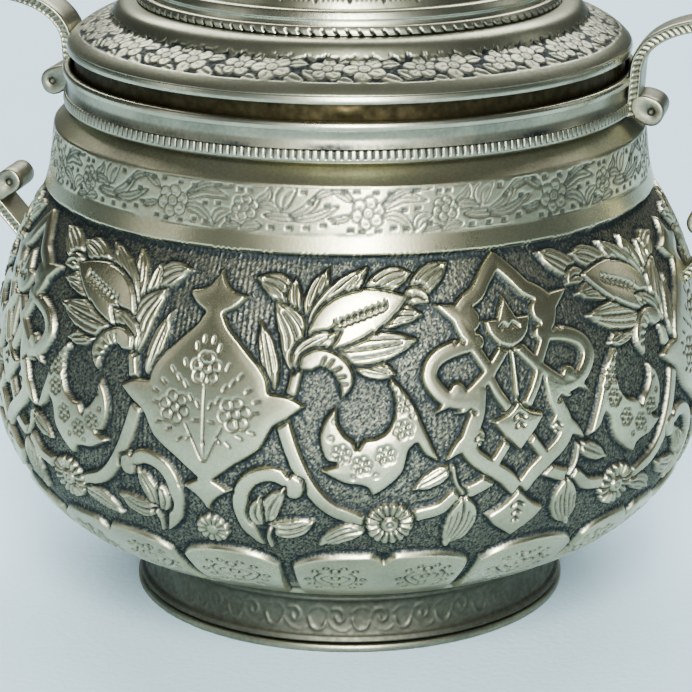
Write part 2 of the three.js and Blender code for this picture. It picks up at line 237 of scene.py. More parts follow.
class Sheet:
    """A patch of silver sheet. Its height runs from 0, the sunk ground, to 1, the full relief."""

    def __init__(self, left, right, bottom, top, pitch, height=0.0, edge=0.5, moat=0.42):
        self.x = np.arange(left, right + pitch, pitch)
        self.y = np.arange(bottom, top + pitch, pitch)
        self.pitch = pitch
        self.h = np.full((len(self.y), len(self.x)), height)
        self.edge, self.moat = edge, moat

    def near(self, path, margin):
        """The rows and columns round a path, and each point's distance from it and place along it."""
        low, high = path.min(0) - margin, path.max(0) + margin
        rows = slice(*np.searchsorted(self.y, (low[1], high[1])))
        columns = slice(*np.searchsorted(self.x, (low[0], high[0])))
        x, y = np.meshgrid(self.x[columns], self.y[rows])
        best, place = np.full(x.shape, 1e9), np.zeros(x.shape)
        legs = np.linalg.norm(np.diff(path, axis=0), axis=1)
        run = np.concatenate([[0], np.cumsum(legs)])
        for k, leg in enumerate(legs):
            if leg < 1e-9:
                continue
            way = (path[k + 1] - path[k]) / leg
            t = np.clip((x - path[k, 0]) * way[0] + (y - path[k, 1]) * way[1], 0, leg)
            d = np.hypot(x - path[k, 0] - t * way[0], y - path[k, 1] - t * way[1])
            closer = d < best
            best = np.where(closer, d, best)
            place = np.where(closer, (run[k] + t) / run[-1], place)
        return (rows, columns), best, place

    def raise_up(self, where, depth, height):
        """Raises a form. Depth is the distance inside its outline; other forms are cut back round it."""
        under = self.h[where] * (0.3 + 0.7 * smooth(-depth / self.moat))
        over = height * (0.9 + 0.1 * smooth(depth / 2)) * smooth(depth / self.edge)
        over = np.maximum(over, self.h[where] * 0.3)
        self.h[where] = np.where(depth > 0, over, under)

    def strand(self, path, width, height=0.85, taper=(0, 0)):
        """A raised strand, such as a vine; taper is how much of each end runs out to a point."""
        where, d, t = self.near(path, width)
        half = width / 2 * np.ones_like(t)
        if taper[0]:
            half = half * np.clip(t / taper[0], 0.05, 1) ** 0.7
        if taper[1]:
            half = half * np.clip((1 - t) / taper[1], 0.05, 1) ** 0.7
        self.raise_up(where, half - d, height)

    def ribbons(self, runs, height=0.95):
        """Raised ribbons that join where they meet. Each is a path, a width and the share that tapers off."""
        depth = np.full(self.h.shape, -9.0)
        for path, width, taper in runs:
            where, d, t = self.near(path, width)
            half = width / 2 * np.ones_like(t)
            if taper:
                half = half * np.clip((1 - t) / taper, 0.02, 1) ** 0.8
            depth[where] = np.maximum(depth[where], half - d)
        self.raise_up((slice(None), slice(None)), depth, height)

    def plate(self, outline, height=1.0):
        """A raised flat form inside a closed outline."""
        path = np.vstack([outline, outline[:1]])
        where, d, _ = self.near(path, 0.8)
        x, y = np.meshgrid(self.x[where[1]], self.y[where[0]])
        within = np.zeros(x.shape, bool)
        for a, b in zip(path[:-1], path[1:]):
            if a[1] != b[1]:
                crossing = (b[0] - a[0]) * (y - a[1]) / (b[1] - a[1]) + a[0]
                within ^= ((a[1] > y) != (b[1] > y)) & (x < crossing)
        self.raise_up(where, np.where(within, d, -d), height)

    def disc(self, centre, radius, height=0.9):
        """A raised round form."""
        where, d, _ = self.near(dot(centre), radius + 1)
        self.raise_up(where, radius - d, height)

    def cut(self, path, width=0.36, depth=0.3):
        """An engraved or punched line."""
        where, d, _ = self.near(np.asarray(path, float), width)
        self.h[where] -= depth * smooth((width - d) / width) * (d < width)

    def ring(self, centre, radius, width=0.3, depth=0.3):
        """A punched circle."""
        where, d, _ = self.near(dot(centre), radius + 1)
        self.h[where] -= depth * smooth((width - np.abs(d - radius)) / width)

    def leaf(self, path, width, lines=1, height=0.9, depth=0.45):
        """A leaf along a line from its base to its tip, with a rib and long lines beside it."""
        line = flowing(path)
        where, d, t = self.near(line, width)
        half = width / 2 * np.sin(math.pi * np.clip(t, 0.001, 0.999) ** 0.8) ** 0.8
        half = half * np.where(t > 0.6, 1.08, 1)
        self.raise_up(where, half - d, height)
        length = len(line) - 1
        self.cut(line[int(length * 0.05) : int(length * 0.85) + 1], 0.34, depth)
        way = np.gradient(line, axis=0)
        way /= np.linalg.norm(way, axis=1)[:, None] + 1e-9
        side = np.stack([-way[:, 1], way[:, 0]], axis=1)
        share = np.linspace(0, 1, length + 1)[:, None]
        belly = width / 2 * np.sin(math.pi * share**0.8) ** 0.7
        for k in range(lines):
            out = (k + 1) / (lines + 1)
            for hand in (-1, 1):
                start = int(length * (0.3 + 0.15 * (k % 2)))
                mark = (line + side * belly * out * hand)[start : int(length * 0.9) + 1]
                self.cut(mark, 0.28, depth * 0.7)

    def flower(self, centre, spread, petal, count=6, heart=0.0, depth=0.4):
        """A small flower of punched circles, and a punched ring round its heart if a heart size is given."""
        centre = np.array(centre, float)
        for k in range(count):
            turn = 2 * math.pi * (k + 0.25) / count
            self.ring(centre + spread * np.array([math.cos(turn), math.sin(turn)]), petal, 0.26, depth)
        if heart:
            self.ring(centre, heart, 0.26, depth)

    def sample(self, x, y):
        """The height at any point, between the sheet's own points."""
        fx = np.clip((x - self.x[0]) / self.pitch, 0, len(self.x) - 1.001)
        fy = np.clip((y - self.y[0]) / self.pitch, 0, len(self.y) - 1.001)
        i, j = fy.astype(int), fx.astype(int)
        u, v = fx - j, fy - i
        low = self.h[i, j] * (1 - u) + self.h[i, j + 1] * u
        high = self.h[i + 1, j] * (1 - u) + self.h[i + 1, j + 1] * u
        return low * (1 - v) + high * v


def settle(h, rounds=10, depth=0.35):
    """Where dirt gathers: points that are lower than the surface round them."""
    soft = h.copy()
    for _ in range(rounds):
        soft = (soft + np.roll(soft, 1, 1) + np.roll(soft, -1, 1)) / 3
        soft[1:-1] = (soft[1:-1] + soft[2:] + soft[:-2]) / 3
    return np.clip((soft - h) / depth, 0, 1)


print("chasing tools ready")

# %% [markdown]
# ## The flower garden on the belly
#
# The belly repeats one drawing eight times, mirrored each time. The drawing runs from the axis of a closed
# medallion to the axis of an openwork one. Between them stand an acanthus spray, a hooked flower, a ringed
# trefoil, a rosette and the vine that joins them. Places are (degrees round the bowl, mm up the wall), so
# only half of each medallion is drawn and the mirror gives the other half.

# %% The drawing's own measure
DEGREE = 0.95  # mm on the wall for one degree, at the middle of the belly
CELL = (-21.5, 25.5)  # from one medallion's axis to the next, in degrees
garden = Sheet(CELL[0] * DEGREE, CELL[1] * DEGREE, 4, 67, 0.16)


def at(points):
    """Points given as (degrees, mm) in mm on the sheet."""
    return [(p[0] * DEGREE, *p[1:]) for p in points]


def line(points, steps=5):
    return flowing(at(points), steps)


# %% Vine, ringed trefoil and lance bud
vine = [(-9.5, 42), (-8.4, 38.4), (-7, 35), (-5, 31.8), (-2.9, 29.9), (-0.4, 28.8), (2, 27.6)]
garden.strand(line(vine), 2.6)
garden.strand(line([(7.5, 28.2), (9.8, 28.8), (12.9, 29.5), (15.5, 31.5), (18, 32), (21.5, 33.6)]), 2.5)
ring_stem = [
    (-8.6, 35.2), (-8.3, 32.6), (-9.4, 34.2), (-12, 34.9), (-15, 33.6), (-16.5, 30.4), (-15.9, 26.6),
    (-14.6, 24), (-13.3, 22.2),
]  # fmt: skip
garden.strand(line(ring_stem), 2.7, taper=(0.05, 0.2))
garden.leaf(at([(-12.8, 26.6), (-12, 29.8), (-9.6, 33.2)]), 3.0, 1)
garden.leaf(at([(-13.2, 26.4), (-9.6, 26.2), (-5.4, 28)]), 3.6, 1)
garden.leaf(at([(-13.6, 26.2), (-14.4, 28.4), (-13.6, 31.2)]), 2.4, 0)
garden.strand(line([(-12.6, 22.6), (-12.9, 24.4), (-12.4, 26)]), 1.1)
garden.leaf(at([(-10.9, 46.6), (-12, 51.5), (-13.8, 57)]), 3.0, 1)
garden.leaf(at([(-11.5, 47.2), (-13.4, 49), (-15, 52)]), 1.6, 0)

# %% Rosette and the leaves round it
rosette = (5.5 * DEGREE, 27.4)
garden.disc(rosette, 3.7, 0.95)
for k in range(16):
    turn = 2 * math.pi * k / 16
    ray = np.array([math.cos(turn), math.sin(turn)])
    garden.cut([rosette + ray * 1.5, rosette + ray * 3.3], 0.38, 0.55)
garden.ring(rosette, 1.3, 0.34, 0.45)
garden.ring(rosette, 0.45, 0.25, 0.3)
garden.leaf(at([(2, 26.6), (-1.6, 25.8), (-5.6, 23.4)]), 3.4, 1)
garden.leaf(at([(15, 36), (12, 34.4), (8.4, 32.7)]), 2.9, 1)
garden.strand(line([(14.8, 35.8), (15.3, 33.5), (16.5, 31.6)]), 1.1)
garden.leaf(at([(16.7, 31.2), (16.6, 27), (14.5, 22.2)]), 5.0, 2)

# %% Hooked flower with its punched rings
hook_line = [
    (-1.6, 45.6, 1), (-3.6, 43.5), (-4.5, 41), (-4.3, 38.8), (-3.5, 37.2), (-2.3, 36.9, 1), (-5, 36, 1),
    (-3.5, 35.1), (-1, 33.9), (1.9, 33.4), (2.8, 31.9, 1), (5, 33.2), (7.5, 35.6), (8.4, 38.6),
    (9.3, 39.5, 1), (10.6, 37.7), (13.1, 36.4, 1), (12, 39), (10.6, 42.2), (9.3, 45.3),
    (7.6, 47.7), (5.8, 49.5, 1),
    (5.4, 48), (6, 46.8), (6.2, 44.8), (5.8, 43), (4.8, 41.6), (3.4, 40.8), (1.8, 40.5), (0.9, 39.3, 1),
    (0.6, 40.2), (-0.6, 41.2), (-1.6, 43), (-1.6, 45.6, 1),
]  # fmt: skip
garden.plate(line(hook_line))
for place in ((1.5, 36.8), (4.9, 38.3), (-1.4, 38.4), (7.5, 41.8), (7.5, 45.2)):
    garden.flower(at([place])[0], 0.9, 0.42, depth=0.22)
for place in ((-2.8, 40.6), (3.4, 35.4), (0.2, 35.2), (8.9, 43.7), (6.3, 47.4), (-2.1, 43)):
    garden.ring(at([place])[0], 0.32, 0.2, 0.22)

# %% Acanthus spray
garden.strand(line([(-8.9, 45), (-8.2, 47.4), (-7.6, 50), (-6.8, 53), (-5.4, 56)]), 2, taper=(0, 0.3))
SPRAY = (  # base, middle, tip, width, long lines
    ((-7.4, 57.6), (-11.4, 61.6), (-15.8, 63), 4.6, 1),
    ((-7.2, 56), (-8.8, 60.2), (-9, 63.6), 2.8, 0),
    ((-6, 56), (-5.4, 60.8), (-3.8, 65.2), 3.8, 1),
    ((1.6, 60.2), (6.2, 62.9), (10.6, 63.8), 4.2, 1),
    ((9.4, 60.2), (13, 62.8), (17.2, 64.9), 4.2, 1),
    ((8.2, 59.4), (10.6, 60.4), (13, 59.2), 3.2, 0),
    ((3.2, 56.4), (7.4, 57.8), (11.8, 57.6), 3.6, 1),
    ((0.2, 51.2), (3.4, 50.4), (7, 49.4), 3.4, 1),
    ((-4, 52.6), (3, 53.3), (10.6, 54.2), 5.0, 1),
    ((-8.2, 49.6), (-8.2, 55), (-12, 59.8), 5.0, 1),
    ((-6.4, 54.4), (-2.4, 60.2), (3, 65.2), 4.8, 1),
    ((-6.4, 53), (-0.8, 57.4), (9.4, 60.4), 7.4, 0),
    ((-8.2, 50), (-6.2, 52.8), (-1.6, 55.6), 3.6, 1),
)  # fmt: skip
for base, middle, tip, width, veins in SPRAY:
    garden.leaf(at([base, middle, tip]), width, veins)
for k in range(9):
    way = k / 8
    spot = np.array(at([(-2.6 + 7.8 * way, 56.6 + 2.6 * way)])[0])
    garden.cut([spot + [-0.4, -0.9], spot + [0.3, -0.3], spot + [0.2, 0.6]], 0.3, 0.35)
curl = line([(-7.4, 50.2), (-4.6, 51.8), (-1.8, 50.8), (-0.6, 48.6), (-1.2, 46)])
garden.strand(curl, 3.0, 0.92, (0.12, 0.3))
for x, y, tilt in ((-4, 51.2, 1.2), (-3, 51, 0.9), (-2.1, 50.2, 0.5), (-1.5, 49.2, 0.2), (-1.2, 48.2, 0)):
    spot = np.array(at([(x, y)])[0])
    way = np.array([math.cos(tilt), math.sin(tilt)]) * 0.75
    garden.cut([spot - way, spot + way], 0.32, 0.4)

# %% Closed medallion with its three flowers
MEDALLION = [  # distance from its axis, and height
    (-4, 64.3), (0, 64.3, 1), (1.1, 62.2), (2.3, 60.9), (5.6, 60, 1), (3.9, 58.1), (1.9, 57, 1), (3, 55.3),
    (5, 53.5), (6.9, 51.7), (8.5, 50.2), (9.7, 48.4), (10.1, 46.6, 1), (12.9, 46.3), (15.6, 45, 1),
    (12.8, 42.9), (10.8, 41.7), (9.7, 40), (8.6, 38.3), (6.8, 36.9), (4.9, 35.7), (3, 34.3),
    (1.5, 33.2, 1), (4.1, 31.7, 1), (2.1, 30.5), (0.9, 29.3), (0, 27.4, 1), (-4, 27.4),
]  # fmt: skip
garden.plate(line([(CELL[0] + p[0], *p[1:]) for p in MEDALLION]))
axis = CELL[0] * DEGREE
for x, y in ((0, 49), (4.9, 43.1)):
    garden.flower((axis + x * DEGREE, y), 1.55, 0.8, 6, 0.7, 0.22)
for path in (((0, 36), (0, 46.3)), ((0.3, 36), (1.6, 38.6), (2.9, 41)), ((0.1, 38.4), (-0.9, 40.2))):
    garden.cut(flowing([(axis + x * DEGREE, y) for x, y in path]), 0.24, 0.26)
DASHES = (
    (0.8, 53.2), (1.9, 52.1), (3.6, 49.6), (4.4, 47.4), (3.2, 46.6), (6.9, 46.6), (8.2, 45.2), (8, 43.6),
    (2.4, 39.2), (3.8, 38.8), (5.6, 40), (7.4, 40.8), (1.2, 41.8), (1, 44), (2.2, 44.8), (5.6, 48.4),
)  # fmt: skip
for x, y in DASHES:
    spot = np.array([axis + x * DEGREE, y])
    way = (spot - [axis, 42]) / np.linalg.norm(spot - [axis, 42]) * 0.4
    garden.cut([spot - way, spot + way], 0.24, 0.3)
half_rosette = np.array([axis, 24.6])
garden.disc(half_rosette, 2.7, 0.85)
for k in range(12):
    turn = 2 * math.pi * k / 12
    ray = np.array([math.cos(turn), math.sin(turn)])
    garden.cut([half_rosette + ray * 0.9, half_rosette + ray * 2.5], 0.32, 0.4)

# %% Openwork medallion of crossed strands
cross = CELL[1]


def across(points):
    """Points given by their distance from the openwork medallion's axis."""
    return [(cross - p[0], *p[1:]) for p in points]


STRANDS = (  # points, width, and the share that tapers off
    ([(0, 52.6), (0, 49), (0, 43)], 1.2, 0),
    ([(1, 40), (2.4, 38), (4.4, 35.4)], 2.0, 0),
    ([(4.2, 47.6), (3.2, 45.6), (1.4, 43)], 2.0, 0),
    ([(0.6, 52.4), (2.2, 50.6), (4.6, 48.2), (8.4, 45.4)], 2.3, 0),
    ([(4, 48.6), (5.2, 50.6), (6.6, 52.8)], 2.3, 0),
    ([(6.6, 56.2), (9.4, 57.6), (12.6, 59)], 4.4, 1),
    ([(9.6, 46.4), (11.6, 44.8), (13.6, 43.4)], 3.2, 1),
    ([(7, 45), (8.6, 43.8), (10.4, 43.4)], 3.0, 1),
    ([(7.4, 39.8), (10, 38.4), (12.2, 36.4)], 3.8, 1),
    ([(-1, 64.6), (0, 64.2), (2.6, 61.8), (4.4, 59.8), (6.6, 58.6), (8, 57), (7.4, 54.8), (6.2, 52.8)],
     3.0, 0),
    ([(5.6, 53), (9.6, 52.4), (12.6, 51.2), (13.8, 49.2), (13, 47.2), (11.2, 45.6), (8.4, 45), (6.2, 45.8)],
     2.8, 0),
    ([(6.2, 46.2), (6.8, 43), (8, 40.4), (8.4, 38.6), (7.2, 36.8), (4.4, 34.8), (2.2, 33.2), (0.2, 31),
      (-1, 30)],
     2.9, 0),
)  # fmt: skip
garden.ribbons([(line(across(path)), width, taper) for path, width, taper in STRANDS])
BUDS = (
    [(-3, 59.6), (0, 59.6, 1), (1.2, 57.4), (1.9, 56, 1), (4.4, 56, 1), (3.6, 53.6), (2, 52), (0, 51.4),
     (-3, 51.4)],
    [(-3, 44.6), (0, 44.6, 1), (1.8, 42.8), (4.8, 41.8, 1), (3.2, 39.8), (1.6, 38.2), (0, 36.6, 1),
     (-3, 36.6)],
    [(-3, 31.4), (0, 31.4, 1), (1.6, 29.8), (3, 28.6), (5.2, 27.4, 1), (3.6, 25.4), (1.8, 24),
     (0, 22.6, 1), (-3, 22.6)],
)  # fmt: skip
for bud in BUDS:
    garden.plate(line(across(bud)))
BARBS = (  # place, and half the width
    (0.9, 54.6, 0.7), (0, 42, 0.8), (0, 40.9, 0.6), (0, 28.8, 0.9), (0, 27.5, 0.6), (0, 26.2, 0.4),
    (6.6, 39.8, 0.6), (6.4, 38.8, 0.5), (8.6, 53.4, 0.7), (7.8, 43.4, 0.7),
)  # fmt: skip
for x, y, size in BARBS:
    spot = np.array(at(across([(x, y)]))[0])
    garden.cut([spot + [-size, -0.2], spot + [0, 0.35], spot + [size, -0.2]], 0.36, 0.5)
print("garden drawn on", garden.h.shape, "points")

# %% [markdown]
# ## The petals under the belly
#
# A ring of petals grows up from the foot: single ones and double ones by turns, with a dark gap between
# two petals that opens into a V. Each carries a small engraved sprig. They don't keep step with the garden
# above.

# %% The bowl's outer line and its columns
BELLY_RISE, SHOULDER_RISE = 24.6, 30.2
SHOULDER, NECK_FOOT, NECK = 47.1, 45.4, 42.2  # outer radii
seat_radius = foot_radius + 2.0
belly_z = base_z + BELLY_RISE
shoulder_z = belly_z + SHOULDER_RISE
slope_z = shoulder_z + 9.8  # where the slope to the neck starts
bowl_columns = 1800
belly_line = np.vstack([
    bezier(
        (seat_radius, base_z), (45.95, base_z + 2.46), (belly_radius, belly_z - 13.04),
        (belly_radius, belly_z),
    ),
    bezier(
        (belly_radius, belly_z), (belly_radius, belly_z + 9.36), (53.96, shoulder_z - 9.66),
        (SHOULDER, shoulder_z),
    )[1:],
    [(46.25, shoulder_z + 2.94), (NECK_FOOT, slope_z)],
])  # fmt: skip
belly_points, belly_run = walk(belly_line, 0.21)
print("the belly's wall is", round(belly_run[-1], 1), "mm from seat to neck")

# %% Where the garden falls on the bowl
# The medallions' axes in degrees. Closed ones stand at the odd places.
CELLS = (-68.5, -21.5, 25.5, 72.5, 116.3, 160.1, 203.9, 247.7, 291.5)


def waver(a, b, seed, size):
    """A slow unevenness, as a hand leaves it."""
    rng = np.random.default_rng(seed)
    total = np.zeros(np.broadcast(a, b).shape)
    for _ in range(6):
        turns, rise, phase = rng.integers(2, 9), rng.uniform(-0.12, 0.12), rng.uniform(0, 6.28)
        total = total + np.sin(np.radians(a) * turns + b * rise + phase)
    return total * size / 3


theta, rise = surface(belly_run, bowl_columns)
drawn_at = theta + waver(theta, rise, 11, 0.45)
drawn_up = rise + waver(theta, rise, 12, 0.35)
turned_back = np.where(drawn_at > CELLS[-1], drawn_at - 360, drawn_at)
cell = np.clip(np.searchsorted(CELLS, turned_back) - 1, 0, len(CELLS) - 2)
left, right = np.take(CELLS, cell), np.take(CELLS, cell + 1)
share = (turned_back - left) / (right - left)
share = np.where(cell % 2 == 0, 1 - share, share)
height = garden.sample((CELL[0] + share * (CELL[1] - CELL[0])) * DEGREE, drawn_up)
height = np.where(rise < 22, np.minimum(height, 1), height)

# %% Petals
SINGLE, DOUBLE = 18.2, 25.6  # how wide the two kinds of petal are, in degrees
FRONT = [-58.0, -29.5, -11.0, 21.0, 41.0]  # the gaps that show in front
fit = (FRONT[0] + 360 - FRONT[-1]) / (6 * (SINGLE + DOUBLE))  # twelve more petals fill the back
edges = FRONT[:]
while edges[-1] < 300:
    edges.append(edges[-1] + (DOUBLE if len(edges) % 2 else SINGLE) * fit)
edges = np.array(edges[:17])
petal_at = np.where(drawn_at > edges[-1], drawn_at - 360, drawn_at)
petal = np.clip(np.searchsorted(edges, petal_at) - 1, 0, 15)
middle = (edges[petal] + edges[petal + 1]) / 2
half = (edges[petal + 1] - edges[petal]) / 2
wide = petal % 2 == 0
mm_per_degree = np.radians(1) * belly_points[:, :1]
inward = (half - np.abs(petal_at - middle)) * mm_per_degree - 0.55
reach = np.clip(np.abs(petal_at - middle) / half, 0, 1)
arch = 15.2 + 6.2 * np.sqrt(np.clip(1 - reach ** np.where(wide, 4.0, 2.4), 0, 1))
cusp = np.where(wide, 1.8 * np.exp(-((np.abs(petal_at - middle) * mm_per_degree / 1.1) ** 2)), 0)
petal_depth = np.minimum(inward, (arch - cusp - rise) * 0.8)
petal_depth = np.where(rise < 6, np.maximum(petal_depth, (6 - rise) * 0.5), petal_depth)
height = np.maximum(height * smooth(-petal_depth / 0.5), smooth(petal_depth / 0.8))

# %% Engraved sprigs on the petals
sprig = Sheet(-7, 7, 9, 20, 0.2)
for hand in (-1, 1):
    stalk = [(0.4 * hand, 11), (2.2 * hand, 12.2), (3.6 * hand, 14.6), (2.4 * hand, 16.4)]
    sprig.cut(flowing(stalk), 0.4, 0.5)
    sprig.cut(flowing([(hand, 13.2), (2.4 * hand, 14.6), (1.2 * hand, 15.6)]), 0.35, 0.45)
    for x, y in ((3.9, 12.6), (4.6, 14.4), (3.4, 17), (1.5, 17.8), (2.8, 11)):
        sprig.ring((x * hand, y), 0.45, 0.3, 0.45)
for y in (12.4, 14.8, 17):
    sprig.ring((0, y), 0.7, 0.32, 0.5)
offset = (petal_at - middle) * mm_per_degree
lobe_shift = np.where(wide, np.sign(offset) * half * 0.5 * mm_per_degree, 0)
sprig_x = (offset - lobe_shift) * np.where(wide, 1.15, 1.0)
on_sprig = (np.abs(sprig_x) < 6.5) & (rise > 9.6) & (rise < 19.4)
height = height + np.where(on_sprig, sprig.sample(sprig_x, rise), 0)

# %% [markdown]
# ## Matted ground and shoulder
#
# The ground between the forms is matted with a small punch, so that it stays dark and throws the flowers
# forward. Above the relief lies a smooth shoulder, still wavy from the planishing hammer, with an engraved
# frieze of flowers, blades and small hatched punches. Its cuts hold the dirt, and its border lines are
# broken where they have worn away.

# %% Matting and the relief's ragged upper edge
rng = np.random.default_rng(5)
grain = rng.normal(0, 1, height.shape)
hatch = np.sin(theta * 7.2 + waver(theta, rise, 13, 2.5)) * smooth(waver(theta, rise, 14, 1.6))
on_ground = 1 - smooth(height / 0.5)
height = height + on_ground * (0.055 * grain + 0.06 * hatch)
ticks = np.round(8 * waver(theta * 23, rise * 0, 15, 0.1)) / 8
ragged = 66.2 + waver(theta, rise * 0, 19, 0.1) - np.abs(ticks)
height = np.where(rise > 58, np.maximum(height, smooth((rise - ragged) / 0.4)), height)

# %% Engraved frieze on the shoulder
BAND_RADIUS = 46
PERIOD = 2 * math.pi * BAND_RADIUS / 10  # ten repeats go round
LOWER, UPPER = 69.2, 75.9  # the frieze's borders, in mm up the wall
frieze = Sheet(-2, PERIOD + 2, 0, 6.6, 0.12, 1.0, 0.14, 0.24)
BLADES = (  # base, middle, tip, width
    ((6, 3.6), (9, 5.1), (12.6, 4.6), 1.5), ((6.2, 4.4), (9.4, 6.1), (13.4, 6.3), 0.9),
    ((6, 2.6), (8.4, 2.4), (10.6, 0.4), 1.4), ((10.8, 0.6), (11.4, 2), (13.4, 2.6), 1.5),
    ((14.6, 0.8), (13, 0.7), (11.8, 0.2), 0.9), ((17.6, 1), (16, 0.9), (14.6, 0.3), 1.2),
    ((16.8, 4.2), (18.4, 5), (18.8, 6.3), 1.2), ((17, 3.6), (18.6, 3.8), (20.4, 3), 1.2),
    ((20.6, 3.4), (20.9, 5.2), (22.6, 6.3), 2.3), ((18, 2.4), (20.8, 2.3), (23.6, 2.1), 1.2),
    ((21.6, 2.4), (24, 3.4), (26.4, 6.2), 1.3), ((22, 1.9), (25.2, 2.4), (28.6, 4), 1.2),
    ((1.8, 4.6), (0.4, 5.6), (-1.2, 6.2), 1.2), ((25.2, 5), (26.8, 5.9), (28.6, 6.1), 1.0),
    ((1.6, 2.6), (-0.4, 2), (-1.8, 2.2), 0.9),
)  # fmt: skip
PUNCHES = (
    (0.6, 6), (2.4, 6), (5.2, 5.8), (9.2, 3.4), (11, 6), (14.4, 5.8), (7.6, 0.9), (9.4, 0.7), (5.4, 0.5),
    (1.4, 0.6), (3, 0.4), (12.8, 1.4), (15.8, 5.8), (19, 0.8), (21.6, 0.8), (24, 0.9), (26.4, 1.3),
    (28.2, 1.7), (24.6, 4.4), (27, 4), (23.6, 5.9), (7.4, 5.7), (11.2, 3.5),
)  # fmt: skip
for shift in (-PERIOD, 0, PERIOD):
    for *path, width in BLADES:
        frieze.leaf([(shift + x, y) for x, y in path], width, 0, 1.0, 0.4)
    for x, y, size in ((4, 3, 1.1), (15.2, 3.3, 0.85)):
        for k in range(6):
            turn = 2 * math.pi * k / 6 + 0.3
            spot = np.array([shift + x + size * 1.45 * math.cos(turn), y + size * 1.3 * math.sin(turn)])
            frieze.disc(spot, size * 0.84, 1.0)
            frieze.cut([spot + [-0.25, -0.1], spot + [0, -0.25], spot + [0.25, -0.1]], 0.2, 0.4)
        frieze.disc((shift + x, y), size * 0.7, 1.0)
        frieze.ring((shift + x, y), size * 0.3, 0.2, 0.4)
    for x, y in PUNCHES:
        for k in range(4):
            mark_x = shift + x - 0.36 + 0.24 * k
            frieze.cut([(mark_x, y - 0.24), (mark_x + 0.06, y + 0.24)], 0.2, 0.7)
around_mm = np.radians(theta) * BAND_RADIUS + 1.6 + waver(theta, rise, 16, 0.5)
frieze_height = frieze.sample(np.mod(around_mm, PERIOD), rise - LOWER - 0.1)
edge_of_frieze = smooth((rise - LOWER) / 0.3) * smooth((UPPER - rise) / 0.3)
carved = edge_of_frieze * (1 - np.clip(frieze_height, 0, 1))
broken = smooth(0.6 + 2 * waver(theta * 5, rise * 0, 20, 0.5))
for border in (LOWER, UPPER):
    line_cut = smooth(1 - np.abs(rise - border - waver(theta, rise * 0, 17, 0.08)) / 0.2)
    carved = np.maximum(carved, 0.5 * line_cut * broken)
height = height - 0.17 * carved

# %% The chased bowl
RELIEF = 1.1  # from the sunk ground to the top of the relief
NECK_BORE, WALL, FLOOR = 40.8, 1.9, 1.6
lift = (height - 1) * RELIEF + waver(theta, rise, 18, 0.05)
slope_line = walk([(NECK_FOOT, slope_z), (NECK, shoulder_z + 12.4), (NECK, ledge_z)], 0.3)[0][1:]
inner_shoulder = [(NECK_FOOT - 1.6, slope_z - 0.4), (44.7, shoulder_z + 2.6), (45.7, shoulder_z - 0.8)]
mouth_end = (NECK_BORE, slope_z + 0.8, 0.5)
lip = profile([(NECK, ledge_z - 0.2, 0), (NECK, ledge_z), (NECK_BORE, ledge_z), mouth_end])[3:]
inside = np.vstack([
    walk(inner_shoulder, 1.0)[0],
    walk([(r - WALL, z) for r, z in belly_line[-3:5:-1]], 1.2)[0],
    [(seat_radius - 4, base_z + FLOOR + 0.1), (20, base_z + FLOOR), (1, base_z + FLOOR)],
])  # fmt: skip
underside = np.array([(1, base_z), (20, base_z), (30, base_z), (seat_radius - 1, base_z)])
bowl_line = np.vstack([underside, belly_points, slope_line, lip, inside])
bowl_lift = padded(lift, bowl_line, len(underside))
sunk = 1 - smooth((height - 0.15) / 0.5)
grime_and_shade = settle(lift, 9, 0.3) * 0.9 * (1 - edge_of_frieze) + sunk * (0.76 - 0.1 * grain)
grime_and_shade = np.maximum(grime_and_shade, settle(lift, 5, 0.13) * 0.8 * (1 - sunk) * (1 - edge_of_frieze))
grime_and_shade = np.clip(grime_and_shade + 0.8 * smooth(carved / 0.6), 0, 1)
# Painted shade: the neck slope is darker in uneven streaks, more so towards the neck.
slope_shade = waver(theta[:1] * 2, slope_line[:, 1:] * 9, 71, 0.3)
slope_shade = slope_shade + np.linspace(-0.1, 0.5, len(slope_line))[:, None]
grime_and_shade = np.vstack([grime_and_shade, np.clip(0.25 + 0.5 * slope_shade, 0, 0.75)])
bowl_dirt_and_shade = padded(grime_and_shade, bowl_line, len(underside), 0.12)
bowl = turned("chased_bowl", bowl_line, bowl_columns, bowl_lift, bowl_dirt_and_shade, False)

# %% [markdown]
# ## Aged silver
#
# Silver reflects nearly all light with a faint warm tint, and its surface shows the whole room softly
# because it is hand polished, never a mirror. Tarnish makes it grey, then brown, then blue-black, and it
# stays wherever a cloth can't reach. So each finish below mixes a rubbed silver with a tarnished one. The
# mix follows the dirt that was measured on the mesh, with a painted shade added to it on the bowl's neck
# slope and along the collar's lower edge, broken up by a slow cloudy pattern and by a fine grain.


# %% Colour and nodes
def colour(code):
    """An sRGB hex colour as linear red, green, blue and alpha."""
    parts = [int(code[i : i + 2], 16) / 255 for i in (0, 2, 4)]
    return [c / 12.92 if c <= 0.04045 else ((c + 0.055) / 1.055) ** 2.4 for c in parts] + [1.0]


def add(tree, kind, inputs=None, **settings):
    """Adds a node. Inputs are values, or outputs of other nodes to link."""
    node = tree.nodes.new(kind)
    for name, value in settings.items():
        setattr(node, name, value)
    for name, value in (inputs or {}).items():
        if isinstance(value, bpy.types.NodeSocket):
            tree.links.new(value, node.inputs[name])
        else:
            node.inputs[name].default_value = value
    return node


# %% One recipe for every silver finish
CLOUD_MM = 14  # how far apart the clouds of tarnish lie
DULL = 0.62  # the roughness of dirt in the hollows


